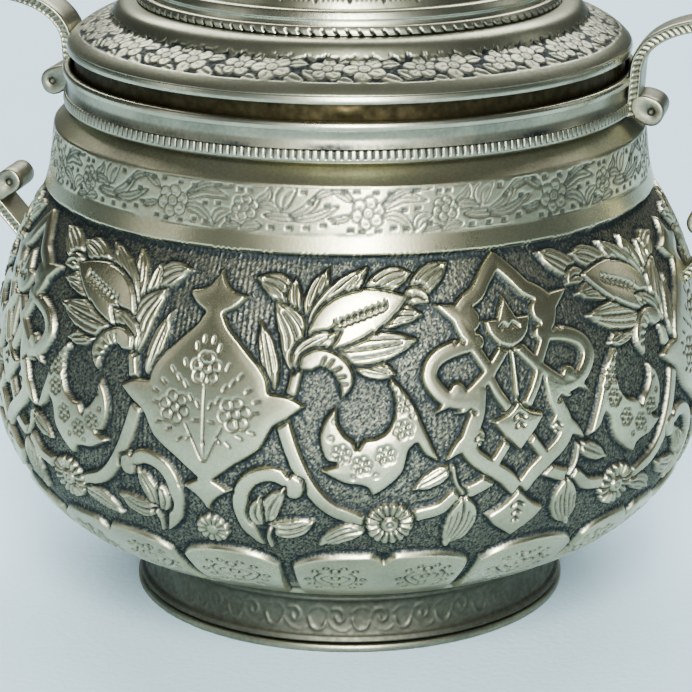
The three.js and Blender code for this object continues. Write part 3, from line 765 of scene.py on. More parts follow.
def silver(name, rubbed, tarnish, black, gloss, cloud, grain_mm, grain, worn=0.0):
    """Silver whose tarnish follows the dirt and the painted shade on the mesh. Gloss is the roughness where
    it is rubbed.
    """
    material = bpy.data.materials.new(name)
    material.use_nodes = True
    tree = material.node_tree
    tree.nodes.clear()
    place = add(tree, "ShaderNodeTexCoord").outputs["Object"]
    dirt_and_shade = add(tree, "ShaderNodeAttribute", attribute_name="dirt_and_shade").outputs["Fac"]
    clouds = add(tree, "ShaderNodeTexNoise", {"Vector": place, "Scale": 1 / (CLOUD_MM * MM), "Detail": 5.0})
    specks = add(tree, "ShaderNodeTexNoise", {"Vector": place, "Scale": 1 / (grain_mm * MM), "Detail": 3.0})
    patchy = add(
        tree, "ShaderNodeMapRange",
        {"Value": clouds.outputs["Fac"], "From Min": 0.38, "From Max": 0.68, "To Min": worn, "To Max": cloud},
    )  # fmt: skip
    speckle = add(
        tree, "ShaderNodeMapRange",
        {"Value": specks.outputs["Fac"], "From Min": 0.3, "From Max": 0.7, "To Min": -grain, "To Max": grain},
    )  # fmt: skip
    film = add(tree, "ShaderNodeMath", {0: patchy.outputs[0], 1: 0.35}, operation="ADD", use_clamp=True)
    film = add(tree, "ShaderNodeMath", {0: film.outputs[0], 1: speckle.outputs[0]}, operation="ADD")
    film = add(tree, "ShaderNodeMath", {0: film.outputs[0], 1: 0.35}, operation="SUBTRACT", use_clamp=True)
    speckled_dirt_and_shade = add(tree, "ShaderNodeMath", {0: speckle.outputs[0], 1: dirt_and_shade}, operation="MULTIPLY")
    deep = add(tree, "ShaderNodeMath", {0: dirt_and_shade, 1: speckled_dirt_and_shade.outputs[0]}, operation="ADD", use_clamp=True)
    skin_tone = add(
        tree, "ShaderNodeMix", {0: film.outputs[0], 6: colour(rubbed), 7: colour(tarnish)}, data_type="RGBA"
    )
    tone = add(
        tree, "ShaderNodeMix", {0: deep.outputs[0], 6: skin_tone.outputs[2], 7: colour(black)},
        data_type="RGBA",
    )  # fmt: skip
    rough = add(
        tree, "ShaderNodeMapRange",
        {"Value": deep.outputs[0], "From Min": 0.0, "From Max": 1.0, "To Min": gloss, "To Max": DULL},
    )  # fmt: skip
    rubbing = add(tree, "ShaderNodeMath", {0: film.outputs[0], 1: 0.14}, operation="MULTIPLY")
    rough = add(tree, "ShaderNodeMath", {0: rough.outputs[0], 1: rubbing.outputs[0]}, operation="ADD")
    bump = add(
        tree, "ShaderNodeBump", {"Height": specks.outputs["Fac"], "Strength": 0.12, "Distance": 0.1 * MM}
    )
    shader = add(
        tree, "ShaderNodeBsdfPrincipled",
        {
            "Base Color": tone.outputs[2], "Metallic": 1.0,
            "Roughness": rough.outputs[0], "Normal": bump.outputs["Normal"],
        },
    )  # fmt: skip
    add(tree, "ShaderNodeOutputMaterial", {"Surface": shader.outputs[0]})
    print("finish:", name)
    return material


# Chased silver: the raised work is rubbed pale and a little warm, the matted ground is nearly black and dull.
chased_silver = silver("chased_oxidised_silver", "B9B79A", "7A7966", "363D3F", 0.27, 0.65, 0.45, 0.13)
# Engraved lid silver: soft polish with dark cuts.
lid_silver = silver("engraved_silver", "9FA08A", "6E7062", "2A3033", 0.27, 0.75, 0.6, 0.14)
# Planished plain silver: smooth and warm, with cloudy tarnish.
plain_silver = silver("planished_silver", "A6A58F", "6E7266", "272D30", 0.28, 0.9, 0.6, 0.14)
# Drawn wire: bright where hands and cloths rub it.
wire_silver = silver("drawn_silver_wire", "B2B29C", "7A7C70", "262B2E", 0.25, 0.7, 0.6, 0.12)
# Cast and filed silver of the handles.
handle_silver = silver("cast_silver", "9D9C88", "62655A", "2A2E2C", 0.3, 0.8, 0.6, 0.16)
# The foot is rarely polished and keeps an olive brown tarnish.
foot_silver = silver("tarnished_chased_silver", "757669", "55574C", "34362F", 0.42, 0.8, 0.8, 0.2, 0.2)
# The bezel's strip has never been polished.
bezel_silver = silver("unpolished_silver_strip", "5E563E", "322E20", "12110C", 0.4, 0.8, 1.2, 0.2, 0.2)
# Filed fittings inside the lid.
fitting_silver = silver("filed_silver", "8D8A7C", "5E5B4E", "26251F", 0.4, 0.6, 0.4, 0.3)


# %% Hand a finished piece to the frame
def deliver(piece, body, finish, slot, *nodes):
    """Gives a piece its finish, lets it ride on its body and stand for its CAD pieces."""
    piece.data.materials.append(finish)
    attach(piece, body)
    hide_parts(*nodes)
    print(piece.name, "stands for", ", ".join(nodes))


deliver(bowl, "bowl", chased_silver, "chased_silver", "bowl_body")

# %% [markdown]
# ## Foot
#
# The foot is a strip of silver bent to a ring, pulled in at the waist and chased with S scrolls, with a
# plain wire at its edge. It stands in the bowl's shadow and is the darkest piece.

# %% Foot ring with scrolls
foot_columns = 960
foot_outer = bezier(
    (foot_radius - 0.35, foot_low[2]), (foot_radius - 1.2, foot_low[2] + 2.4),
    (foot_radius - 1.3, foot_high[2] - 3.4), (foot_radius - 0.2, foot_high[2]), 34,
)  # fmt: skip
foot_inner = np.array([(r - 1.2, z) for r, z in foot_outer[::-3]])
foot_line = np.vstack([foot_outer, foot_inner])
SCROLL, SCROLLS = 6.8, 31  # length of one scroll, and how many go round
scrolls = Sheet(-1, SCROLL + 1, 0, 9, 0.14)
CURLS = (  # points, width and height of each strand
    ([(0.2, 3.4), (0.8, 2.1), (2.2, 2), (3, 3.4), (3.6, 4.8), (5, 5), (5.7, 3.8), (4.9, 3), (4.4, 3.7)],
     0.75, 0.9),
    ([(3, 3.4), (4.1, 2.1), (5.8, 1.7), (6.8, 2.3)], 0.55, 0.8),
    ([(3.4, 4.4), (2.2, 5.3), (0.8, 5.1), (0, 4.4)], 0.55, 0.8),
)  # fmt: skip
for shift in (-SCROLL, 0, SCROLL):
    for path, width, top in CURLS:
        scrolls.strand(flowing([(shift + x, y) for x, y in path]), width, top)
foot_theta, foot_rise = surface(foot_outer[:, 1] - foot_low[2], foot_columns)
foot_around = np.radians(foot_theta) * SCROLL * SCROLLS / (2 * math.pi)
foot_around = np.mod(foot_around + waver(foot_theta, foot_rise, 21, 0.25), SCROLL)
foot_height = scrolls.sample(foot_around, foot_rise + waver(foot_theta, foot_rise, 22, 0.2))
foot_field = smooth((foot_rise - 0.7) / 0.4) * smooth((6.6 - foot_rise) / 0.4)
foot_cuts = 0.35 * foot_field * (1 - foot_height) + 0.25 * smooth(1 - np.abs(foot_rise - 7.1) / 0.3)
foot_lift = padded(-foot_cuts, foot_line)
foot_dirt = 0.25 + 0.6 * settle(foot_lift, 8, 0.25)
foot = turned("chased_foot", foot_line, foot_columns, foot_lift, foot_dirt)
deliver(foot, "bowl", foot_silver, "foot_silver", "foot_ring")

# %% Foot's edge wire
wire_top, wire_back = foot_low[2] - 0.3, foot_radius - 1.6
foot_wire_line = profile(
    [(wire_back, 0, 0.5), (foot_radius, 0, 0.6), (foot_radius, wire_top, 0.6), (wire_back, wire_top, 0.4)],
    steps=6,
)
foot_wire = turned("foot_edge_wire", foot_wire_line, 480, 0, 0.2)
deliver(foot_wire, "bowl", plain_silver, "foot_silver", "foot_wire")

# %% [markdown]
# ## Neck
#
# Three things are soldered round the neck: a wire whose upper part is milled with close upright cuts, a
# plain collar with a slightly hollow face, and a round wire that makes the bright lip. Painted shade
# darkens the collar's lower edge in streaks, where it meets the milled wire.

# %% Milled wire at the neck
wire_low, wire_high = corners("neck_wire")
MILLS = 252  # cuts round the wire
wire_r, wire_z0, wire_z1 = wire_high[0], wire_low[2], wire_high[2] + 0.24
inner_r = wire_r - 1.3
wire_line = profile(
    [
        (inner_r, wire_z0, 0.1), (wire_r - 0.25, wire_z0, 0.3), (wire_r, wire_z0 + 0.45, 0.3),
        (wire_r, wire_z0 + 1.0, 0.2), (wire_r - 0.15, wire_z1, 0.3), (inner_r, wire_z1, 0.1),
    ],
    steps=5,
)  # fmt: skip
wire_columns = MILLS * 8
cuts = np.cos(angles(wire_columns) * MILLS)
upper = smooth((wire_line[:, 1:] - wire_z0 - 0.55) / 0.2) * (wire_line[:, :1] > inner_r + 0.5)
wire_lift = -0.2 * upper * smooth((cuts - 0.5) / 0.4)
wire_dirt = np.clip(0.15 + 0.85 * upper * smooth((cuts - 0.55) / 0.35), 0, 1)
neck_wire = turned("milled_neck_wire", wire_line, wire_columns, wire_lift, wire_dirt)
deliver(neck_wire, "bowl", wire_silver, "wire_silver", "neck_wire")

# %% Collar and lip
collar_low, collar_high = corners("neck_collar")
SOLDERED = 42.5  # radius of the hidden inner side of collar and lip
collar_r, collar_z0, collar_z1 = collar_high[0], collar_low[2], collar_high[2]
collar_line = profile(
    [(SOLDERED, collar_z0, 0.1), (collar_r, collar_z0 - 0.1, 0.2), (collar_r - 0.2, collar_z0 + 0.5, 0.4),
     (collar_r - 0.4, (collar_z0 + collar_z1) / 2, 0.8), (collar_r - 0.25, collar_z1 - 0.5, 0.5),
     (collar_r - 0.05, collar_z1 + 0.13, 0.1), (SOLDERED, collar_z1 + 0.13, 0.1)],
    steps=6,
)  # fmt: skip
collar_turn = np.degrees(angles(720))[None, :]
collar_lift = waver(collar_turn, collar_line[:, 1:] * 4, 31, 0.04)
# Painted shade: the collar is darker in streaks along its lower edge, where it meets the milled wire.
collar_shade = 0.6 + waver(collar_turn * 3, collar_line[:, 1:] * 6, 32, 0.5)
collar_shade = collar_shade * smooth((collar_z0 + 1.3 - collar_line[:, 1:]) / 1.1)
collar = turned("hollow_collar", collar_line, 720, collar_lift, np.clip(0.22 + 0.6 * collar_shade, 0, 1))
deliver(collar, "bowl", plain_silver, "plain_silver", "neck_collar")
rim_r, rim_z0, rim_top = rim_high[0], rim_low[2], rim_high[2]
rim_line = profile(
    [(SOLDERED, rim_z0 - 0.15, 0.1), (rim_r - 0.1, rim_z0 - 0.15, 0.15), (rim_r, rim_z0 + 0.6, 0.4),
     (rim_r - 0.35, rim_top, 0.45), (SOLDERED + 0.1, rim_top, 0.4)],
    steps=6,
)  # fmt: skip
rim = turned("mouth_rim", rim_line, 720, waver(collar_turn, rim_line[:, 1:], 33, 0.03), 0.05)
deliver(rim, "bowl", wire_silver, "wire_silver", "rim_wire")

# %% [markdown]
# ## Ear handles
#
# Each handle is a cast strip, bent into an ear. Its two side edges are filed with leaning notches between
# two fine plain lines. A drop-shaped lobe with a shallow eye closes each end on the inner side. The strip
# is made by carrying its section along the centre line, which keeps the notches at an even pitch round the
# bends.

# %% The strip's centre line
LID_GAP, HALF_STRIP = 0.3, 0.95
HANDLE_TURN = math.radians(13.5)  # how far both handles are turned towards the front
grip = corners("lid_edge_wire")[1][0] + LID_GAP + HALF_STRIP
landing_way = np.array([math.cos(math.radians(50)), math.sin(math.radians(50))])
landing_z = rim_top - 30.2
landing = np.array([np.interp(landing_z, belly_points[:, 1], belly_points[:, 0]), landing_z])
crest, outermost = np.array([grip + 13.4, rim_top + 8.4]), np.array([landing[0] + 16.1, rim_top - 4.5])
leave = np.array([grip, rim_top + 0.3])
strip_line = np.vstack([
    [(grip - 0.4, rim_top - 6.2)],
    bezier(leave, leave + [0, 5.7], crest - [6.8, 0], crest),
    bezier(crest, crest + [6.8, 0], outermost + [0, 7.2], outermost)[1:],
    bezier(outermost, outermost - [0, 8.4], landing + landing_way * 12, landing - landing_way * 0.4)[1:],
])  # fmt: skip
strip, strip_run = walk(strip_line, 0.145)
strip_way = np.gradient(strip, axis=0)
strip_way /= np.linalg.norm(strip_way, axis=1)[:, None]
strip_side = np.stack([-strip_way[:, 1], strip_way[:, 0]], axis=1)
print("a handle's strip is", round(strip_run[-1], 1), "mm long")

# %% The section and its notches
NOTCH = 0.87
section = [  # across the strip, and through its thickness
    (0, 0.99), (1.6, 0.98), (2.9, 0.95), (3.3, 0.88), (3.48, 0.72), (3.5, 0.58), (3.42, 0.48), (3.4, 0.38),
    (3.4, 0.15), (3.4, -0.1), (3.4, -0.35), (3.4, -0.5), (3.45, -0.62), (3.46, -0.75), (3.3, -0.89),
    (2.9, -0.95), (1.6, -0.96), (0, -0.96),
]  # fmt: skip
section = np.array(section + [(-w, n) for w, n in section[-2:0:-1]])
notched = (np.abs(section[:, 0]) > 3.35) & (section[:, 1] < 0.45) & (section[:, 1] > -0.56)
lean = section[:, 1] * 0.5
wave = np.cos(2 * math.pi * (strip_run[:, None] + lean[None, :]) / NOTCH)
bite = smooth((wave - 0.45) / 0.45) * notched[None, :]
across_strip = section[:, 0] - np.sign(section[:, 0]) * 0.24 * bite
through = np.broadcast_to(section[:, 1], across_strip.shape)


def in_plane(points, across_mm, turn):
    """Points (radius, height) in a handle's upright plane, turned about the axis."""
    x = points[..., 0] * math.cos(turn) - across_mm * math.sin(turn)
    y = points[..., 0] * math.sin(turn) + across_mm * math.cos(turn)
    return np.stack([x, y, points[..., 1]], axis=-1)


# %% Lobes with a shallow eye
LOBE = 1.9  # radius of the lobe where it is round


def lobe(centre, root, neck, tail):
    """A drop-shaped lobe, drawn out towards its root on the strip. Rows run across its width."""
    turn = np.arange(96) * 2 * math.pi / 96
    reach = np.linalg.norm(root - centre) + 0.4
    facing = np.mod(turn - math.atan2(*(root - centre)[::-1]) + math.pi, 2 * math.pi) - math.pi
    outline = LOBE + (reach - LOBE) * np.exp(-((facing / neck) ** 2)) + tail * smooth(np.cos(facing - 1.7))
    ray = np.stack([np.cos(turn), np.sin(turn)], axis=1)
    rings, widths, grime_and_shade = [], [], []
    for size, out, dirt_and_shade in ((0.08, 2.9, 0.7), (0.42, 2.95, 0.7), (0.54, 3.3, 0.7), (0.66, 3.43, 0.5)):
        rings.append(centre + ray * size)
        widths.append(out)
        grime_and_shade.append(dirt_and_shade)
    for inset, out in ((0.45, 3.46), (0.2, 3.42), (0.06, 3.3), (0, 3.1), (0, 1.5)):
        rings.append(centre + ray * (outline - inset)[:, None])
        widths.append(out)
        grime_and_shade.append(0.15)
    rings = rings + rings[::-1]
    widths = widths + [-w for w in widths[::-1]]
    grime_and_shade = grime_and_shade + grime_and_shade[::-1]
    return np.array(rings), np.array(widths)[:, None], np.array(grime_and_shade)[:, None]


upper_root = np.array([grip - 0.1, rim_top - 3.9])
upper_lobe = lobe(upper_root + [2.7, -1.3], upper_root, 0.8, 0.3)
lower_root = landing + landing_way * 7.4
lower_side = np.array([-landing_way[1], landing_way[0]])
lower_lobe = lobe(lower_root + lower_side * 4.0, lower_root, 0.6, 0.2)

# %% Both handles
bpy.context.view_layer.update()
for side_name, turn in (("right", -HANDLE_TURN), ("left", math.pi - HANDLE_TURN)):
    centre_line = strip[:, None, :] + strip_side[:, None, :] * through[..., None]
    strip_points = in_plane(centre_line, across_strip, turn)
    parts = [skin(f"ear_handle_{side_name}", strip_points, False, 0.12 + 0.6 * bite)]
    for rings, widths, grime_and_shade in (upper_lobe, lower_lobe):
        parts.append(skin("lobe", in_plane(rings, widths, turn), False, grime_and_shade))
    with bpy.context.temp_override(active_object=parts[0], selected_editable_objects=parts):
        bpy.ops.object.join()
    deliver(parts[0], "bowl", handle_silver, "handle_silver", f"handle_{side_name}")

# %% [markdown]
# ## Lid
#
# The lid is a second raised sheet. A thin wire strengthens its edge. Its convex band is engraved with
# blossoms and leaves on a hatched ground, and then a plain cove rises to a shelf. On the shelf stand a
# notched wire, a polished half-round wire and the dome.

# %% Lid's edge wire
edge_low, edge_high = corners("lid_edge_wire")
lid_r, edge_z0, edge_z1 = edge_high[0], edge_low[2], edge_high[2] + 0.32
edge_line = profile(
    [(lid_r - 1, edge_z0, 0.1), (lid_r - 0.1, edge_z0, 0.35), (lid_r, edge_z0 + 0.5, 0.3),
     (lid_r - 0.15, edge_z1, 0.2), (lid_r - 1, edge_z1, 0.1)],
    steps=6,
)  # fmt: skip
edge = turned("lid_edge_roll", edge_line, 720, 0, 0.05)
deliver(edge, "lid", wire_silver, "wire_silver", "lid_edge_wire")

# %% Engraved band, cove and shelf
corner_r, corner_z = lid_r - 6.5, edge_z0 + 4.9
shelf_r, shelf_z = corner_r - 3.2, flange_high[2]
shelf_end, flange_z0 = dome_high[0] - 1.6, flange_low[2] + 0.02
flange_outer = np.vstack([
    bezier(
        (lid_r - 0.2, flange_z0), (lid_r - 1.6, corner_z - 1.96), (corner_r + 2.2, corner_z - 0.49),
        (corner_r, corner_z),
    ),
    bezier(
        (corner_r, corner_z), (corner_r - 0.9, corner_z + 0.9), (corner_r - 1.3, shelf_z - 0.1),
        (shelf_r, shelf_z),
    )[1:],
    [(shelf_end, shelf_z)],
])  # fmt: skip
flange_points, flange_run = walk(flange_outer, 0.19)
flange_columns = 1400
BLOSSOM, BLOSSOMS = 13.6, 19  # length of one pair of blossoms, and how many pairs go round
blossoms = Sheet(-4, BLOSSOM + 4, 0, 7.4, 0.12, 0.0, 0.2, 0.3)
LEAVES = (  # base, middle, tip, width
    ((4.2, 2.4), (5.4, 1.4), (7.2, 0.8), 2.16), ((4.4, 4.2), (5.8, 4.8), (7.4, 4.6), 2.4),
    ((3.4, 6), (5, 6.7), (7, 6.6), 1.8), ((9.6, 1.6), (8, 2.2), (6.6, 3.2), 2.16),
    ((8.6, 5.8), (7.6, 6.4), (7.2, 7.2), 1.44), ((11.8, 5.2), (13, 6.2), (14.6, 6.7), 2.04),
    ((11.6, 1.4), (12.6, 1), (14, 0.8), 1.8), ((1.2, 6), (0.4, 6.7), (0.2, 7.3), 1.44),
)  # fmt: skip
for shift in (-BLOSSOM, 0, BLOSSOM):
    for *path, width in LEAVES:
        blossoms.leaf([(shift + x, y) for x, y in path], width, 0, 1.0, 0.6)
    for x, y, spread, size in ((2, 3.6, 1.9, 1.3), (10.3, 3.6, 1.6, 1.12)):
        for k in range(5):
            turn = 2 * math.pi * k / 5 + x
            spot = np.array([shift + x + spread * math.cos(turn), y + spread * math.sin(turn)])
            blossoms.disc(spot, size, 1.0)
            way = (spot - [shift + x, y]) / spread
            blossoms.cut([spot - way * 0.5, spot + way * 0.35], 0.26, 0.4)
        blossoms.disc((shift + x, y), spread * 0.5, 1.0)
        blossoms.ring((shift + x, y), spread * 0.22, 0.22, 0.4)
open_ground = blossoms.h < 0.35
for way in (1, -1):
    scratch = np.cos(blossoms.x[None, :] * 8.5 + way * blossoms.y[:, None] * 8.5)
    blossoms.h += 0.16 * smooth((scratch - 0.2) / 0.5) * open_ground
lid_theta, lid_run = surface(flange_run, flange_columns)
lid_around = np.radians(lid_theta) * BLOSSOM * BLOSSOMS / (2 * math.pi) + waver(lid_theta, lid_run, 41, 0.6)
lid_height = blossoms.sample(np.mod(lid_around, BLOSSOM), lid_run - 1.7 + waver(lid_theta, lid_run, 42, 0.15))
tufts = 8.2 + 0.45 * smooth(np.sin(lid_around * 2.3)) * np.abs(np.sin(lid_around * 7))
lower_edge = 2.3 + waver(lid_theta, lid_run * 0, 44, 0.08)
lid_band = smooth((lid_run - lower_edge) / 0.25) * smooth((tufts - lid_run) / 0.3)
lid_carved = lid_band * (1 - np.clip(lid_height, 0, 1))
band_lift = waver(lid_theta, lid_run, 43, 0.04) - 0.2 * lid_carved
flange_inner = walk([(r - 0.75, z - 0.75) for r, z in flange_outer[-2:4:-1]], 0.8)[0]
flange_line = np.vstack([
    flange_points, [(shelf_end, shelf_z - 1.1)], flange_inner[1:], [(lid_r - 1.3, flange_z0)],
])  # fmt: skip
flange_lift = padded(band_lift, flange_line)
flange_dirt = padded(0.08 + 0.88 * smooth(lid_carved * 1.15), flange_line, 0, 0.08)
flange = turned("engraved_lid_band", flange_line, flange_columns, flange_lift, flange_dirt)
deliver(flange, "lid", lid_silver, "lid_silver", "lid_flange")

# %% Bezel with its lump of old solder
bezel_low, bezel_high = corners("lid_bezel")
bezel_r, bezel_z0, bezel_z1 = bezel_high[0], bezel_low[2], bezel_high[2]
bezel_line = np.vstack([
    walk([(bezel_r, bezel_z0 + 0.2), (bezel_r, bezel_z1)], 0.3)[0],
    [(bezel_r - 1, bezel_z1), (bezel_r - 1, bezel_z0 + 0.2), (bezel_r - 0.8, bezel_z0)],
    [(bezel_r - 0.2, bezel_z0)],
])  # fmt: skip
bezel_theta = (np.degrees(angles(900)) + 180) % 360 - 180
lump = np.exp(-(((bezel_theta[None, :] + 1) / 2.6) ** 2) - ((bezel_line[:, 1:] - rim_top - 1.3) / 0.7) ** 2)
bezel_lift = 0.3 * lump * (bezel_line[:, :1] > bezel_r - 0.1)
bezel_lift = bezel_lift + waver(bezel_theta[None, :], bezel_line[:, 1:], 51, 0.02)
bezel = turned("bezel_strip", bezel_line, 900, bezel_lift, np.clip(0.5 - lump * 0.4, 0, 1))
deliver(bezel, "lid", bezel_silver, "bezel_silver", "lid_bezel")

# %% Notched wire and half-round wire
notch_low, notch_high = corners("lid_notched_wire")
notch_r, notch_z0, notch_z1 = notch_high[0], notch_low[2] - 0.2, notch_high[2]
SLANTS = 116  # notches round the wire
notch_line = profile(
    [(notch_r - 1.2, notch_z0, 0.1), (notch_r, notch_z0, 0.1), (notch_r, notch_z0 + 0.6, 0.3),
     (notch_r - 0.5, notch_z1, 0.4), (notch_r - 1.2, notch_z1, 0.2)],
    steps=6,
)  # fmt: skip
notch_columns = SLANTS * 12
slants = np.cos(angles(notch_columns)[None, :] * SLANTS + (notch_line[:, 1:] - notch_z0) * 1.9)
notch_zone = smooth((notch_line[:, :1] - notch_r + 0.55) / 0.3)
notch_zone = notch_zone * smooth((notch_z0 + 1.0 - notch_line[:, 1:]) / 0.4)
notch_cut = notch_zone * smooth((slants - 0.6) / 0.3)
notch_dirt = np.clip(0.1 + 0.9 * notch_cut, 0, 1)
notched_wire = turned("slant_notched_wire", notch_line, notch_columns, -0.22 * notch_cut, notch_dirt)
deliver(notched_wire, "lid", wire_silver, "wire_silver", "lid_notched_wire")
half_low, half_high = corners("lid_half_round_wire")
half_r, half_z0, half_z1 = half_high[0], half_low[2], half_high[2]
half_line = profile(
    [(half_r - 1.7, half_z0 - 0.6, 0.1), (half_r + 0.1, half_z0 - 0.6, 0.2),
     (half_r - 0.1, half_z0 + 0.3, 0.3), (half_r, (half_z0 + half_z1) / 2 - 0.2, 0.9),
     (half_r - 0.6, half_z1, 0.7), (half_r - 1.7, half_z1, 0.2)],
    steps=8,
)  # fmt: skip
half_round = turned("half_round_wire", half_line, 720, waver(collar_turn, half_line[:, 1:], 52, 0.03), 0.05)
deliver(half_round, "lid", wire_silver, "wire_silver", "lid_half_round_wire")

# %% [markdown]
# ## Dome
#
# The dome is engraved with rows of scales that overlap like feathers and get smaller towards the top,
# where a ring of pointed leaves lies round the finial.

# %% Dome with engraved scales
dome_r, dome_z0, dome_top = dome_high[0], dome_low[2], dome_high[2]
dome_shoulder = dome_z0 + 3.1
table_r = 5.6
dome_outer = np.vstack([
    [(dome_r, dome_z0 + 0.02), (dome_r, dome_shoulder)],
    bezier(
        (dome_r, dome_shoulder), (dome_r - 3.03, dome_shoulder + 7.48), (dome_r - 16.8, dome_top - 4.08),
        (table_r, dome_top),
    )[1:],
    [(1.6, dome_top)],
])  # fmt: skip
dome_points, dome_run = walk(dome_outer, 0.24)
dome_columns = 1080
dome_theta, dome_rise = surface(dome_run, dome_columns)
SCALES, LEAF_RING = 36, 12  # scales in a row, and leaves in the ring at the top
ROW = 3.2  # height of one row of scales
BANDS_END, LEAVES_END = 24, 31.6  # in mm up the dome
band_run = dome_rise - 3.6
row = np.floor(band_run / ROW)
cut_lift = np.zeros(dome_theta.shape)
for k in (-1, 0):
    this_row = row + k
    shift = (this_row % 2) * 0.5
    local = np.mod(dome_theta * SCALES / 360 + shift, 1) - 0.5
    up = (band_run - this_row * ROW) / ROW
    out = np.hypot(local * 1.9, up)
    cut_lift = np.minimum(cut_lift, -0.22 * smooth(1 - np.abs(out - 0.98) / 0.11) * (up > 0))
    rays = smooth((np.cos(local * 2 * math.pi * 7) - 0.4) / 0.5) * smooth((0.75 - out) / 0.1)
    cut_lift = np.minimum(cut_lift, -0.1 * rays * (k == 0) * (up > 0.18))
scale_zone = smooth((dome_rise - 3.8) / 0.2) * smooth((BANDS_END - dome_rise) / 0.4)
cut_lift = cut_lift * scale_zone - 0.2 * smooth(1 - np.abs(dome_rise - BANDS_END - 0.6) / 0.3)
leaf_local = np.mod(dome_theta * LEAF_RING / 360, 1) - 0.5
leaf_edge = np.abs(leaf_local) * 2 - smooth((LEAVES_END + 0.4 - dome_rise) / 7.5) * 0.96
top_zone = smooth((dome_rise - BANDS_END - 1) / 0.3) * smooth((LEAVES_END - dome_rise) / 0.3)
cut_lift = cut_lift - 0.2 * top_zone * smooth(1 - np.abs(leaf_edge) / 0.12)
cut_lift = cut_lift + waver(dome_theta, dome_rise, 61, 0.04)
inner_dome = walk([(r - 0.95, z - 0.6) for r, z in dome_outer[-2:1:-1]], 1.0)[0]
dome_line = np.vstack([
    dome_points, [(1.6, dome_top - 1.1)], inner_dome[1:], [(dome_r - 1.1, dome_z0 + 0.02)],
])  # fmt: skip
dome_lift = padded(cut_lift, dome_line)
dome = turned("engraved_dome", dome_line, dome_columns, dome_lift, 0.08 + 0.9 * settle(dome_lift, 6, 0.16))
deliver(dome, "lid", lid_silver, "lid_silver", "lid_dome")

# %% [markdown]
# ## Finial and its screw
#
# A bud of eight petals stands on a small moulding. A screw goes down through the dome into a washer and a
# nut, so that the bud can be replaced when it bends.

# %% Bud and its moulding
bud_low, bud_high = corners("finial_bud")
collet_low, collet_high = corners("finial_collet")
PETALS, SEPAL_TOP = 8, 0.55
bud_z, bud_h, bud_r = bud_low[2], bud_high[2] - bud_low[2], bud_high[0]
widest = (bud_r, bud_z + bud_h * 0.38)
bud_line = np.vstack([
    [(0.3, bud_z)],
    bezier((bud_r * 0.42, bud_z), (bud_r * 0.8, bud_z + 0.6), (bud_r, bud_z + bud_h * 0.2), widest, 40),
    bezier(widest, (bud_r, bud_z + bud_h * 0.6), (0.9, bud_high[2] - 4.6), (0.15, bud_high[2]), 60)[1:],
])  # fmt: skip
bud_points = walk(bud_line, 0.16)[0]
bud_turn = angles(320)[None, :]
bud_share = (bud_points[:, 1:] - bud_z) / bud_h
petals = 0.5 + 0.5 * np.cos(bud_turn * PETALS)
sepal = np.mod(bud_turn * PETALS / (2 * math.pi), 1) - 0.5
sepal_edge = smooth((0.46 * (1 - bud_share / SEPAL_TOP) - np.abs(sepal)) / 0.06)
bud_lift = 0.05 - 0.45 * (1 - smooth(petals * 4)) * smooth(bud_share * 6) * smooth((1 - bud_share) * 3)
bud_lift = bud_lift * smooth(bud_points[:, :1] / 2)
bud_lift = bud_lift - 0.25 * (1 - sepal_edge) * smooth((SEPAL_TOP - bud_share) / 0.05)
bud_lift = np.minimum(bud_lift, 0) * (bud_points[:, :1] > 0.6)
bud = turned("petalled_bud", bud_points, 320, bud_lift, 0.1 + 0.85 * settle(bud_lift, 6, 0.2), False)
deliver(bud, "lid", lid_silver, "fitting_silver", "finial_bud")
BORE, BEADS = 1.5, 40  # radius of the screw's hole, and beads round the moulding
collet_r, collet_z0, collet_z1 = collet_high[0], collet_low[2] - 0.2, collet_high[2] + 0.2
collet_line = profile(
    [(BORE, collet_z0, 0.1), (collet_r, collet_z0, 0.2), (collet_r, collet_z0 + 0.7, 0.35),
     (collet_r - 0.5, collet_z0 + 0.9, 0.1), (collet_r * 0.72, collet_z0 + 1.5, 0.4),
     (collet_r * 0.62, collet_z1, 0.2), (BORE, collet_z1, 0.1)],
    steps=6,
)  # fmt: skip
beads = smooth((np.cos(angles(480)[None, :] * BEADS) + 0.4) / 1.2)
collet_lift = -0.22 * (1 - beads) * (collet_line[:, :1] > collet_r - 0.4)
collet = turned("beaded_collet", collet_line, 480, collet_lift, 0.1 + 0.8 * (collet_lift < -0.1))
deliver(collet, "lid", lid_silver, "fitting_silver", "finial_collet")

# %% Screw, washer and nut
stud_low, stud_high = corners("finial_stud")
STUD, PITCH = 1.18, 0.5  # radius and pitch of the thread
shank = walk([(STUD, stud_low[2] + 0.25), (STUD, stud_high[2])], 0.1)[0]
stud_points = np.vstack([[(0.9, stud_low[2])], shank])
thread = -0.16 * (0.5 + 0.5 * np.cos(stud_points[:, 1:] * 2 * math.pi / PITCH + angles(48)[None, :]))
thread[0] = 0
stud = turned("screw_stud", stud_points, 48, thread, 0.3 - thread * 3, False)
deliver(stud, "lid", fitting_silver, "fitting_silver", "finial_stud")
washer_low, washer_high = corners("finial_washer")
washer_r, washer_z0, washer_z1 = washer_high[0], washer_low[2], washer_high[2]
washer_line = profile(
    [(BORE, washer_z0, 0.1), (washer_r, washer_z0, 0.25), (washer_r, washer_z1, 0.15),
     (BORE, washer_z1, 0.1)],
    steps=5,
)  # fmt: skip
washer = turned("filed_washer", washer_line, 160, 0, 0.3)
deliver(washer, "lid", fitting_silver, "fitting_silver", "finial_washer")
nut_low, nut_high = corners("finial_nut")
nut_r, nut_z0, nut_z1 = nut_high[0], nut_low[2], nut_high[2]
nut_line = profile(
    [(BORE, nut_z0, 0.15), (nut_r, nut_z0, 0.1), (nut_r, nut_z1, 0.1), (BORE, nut_z1, 0.15)], steps=5
)
nut_turn = np.mod(angles(180) + math.pi / 2, math.pi / 3) - math.pi / 6
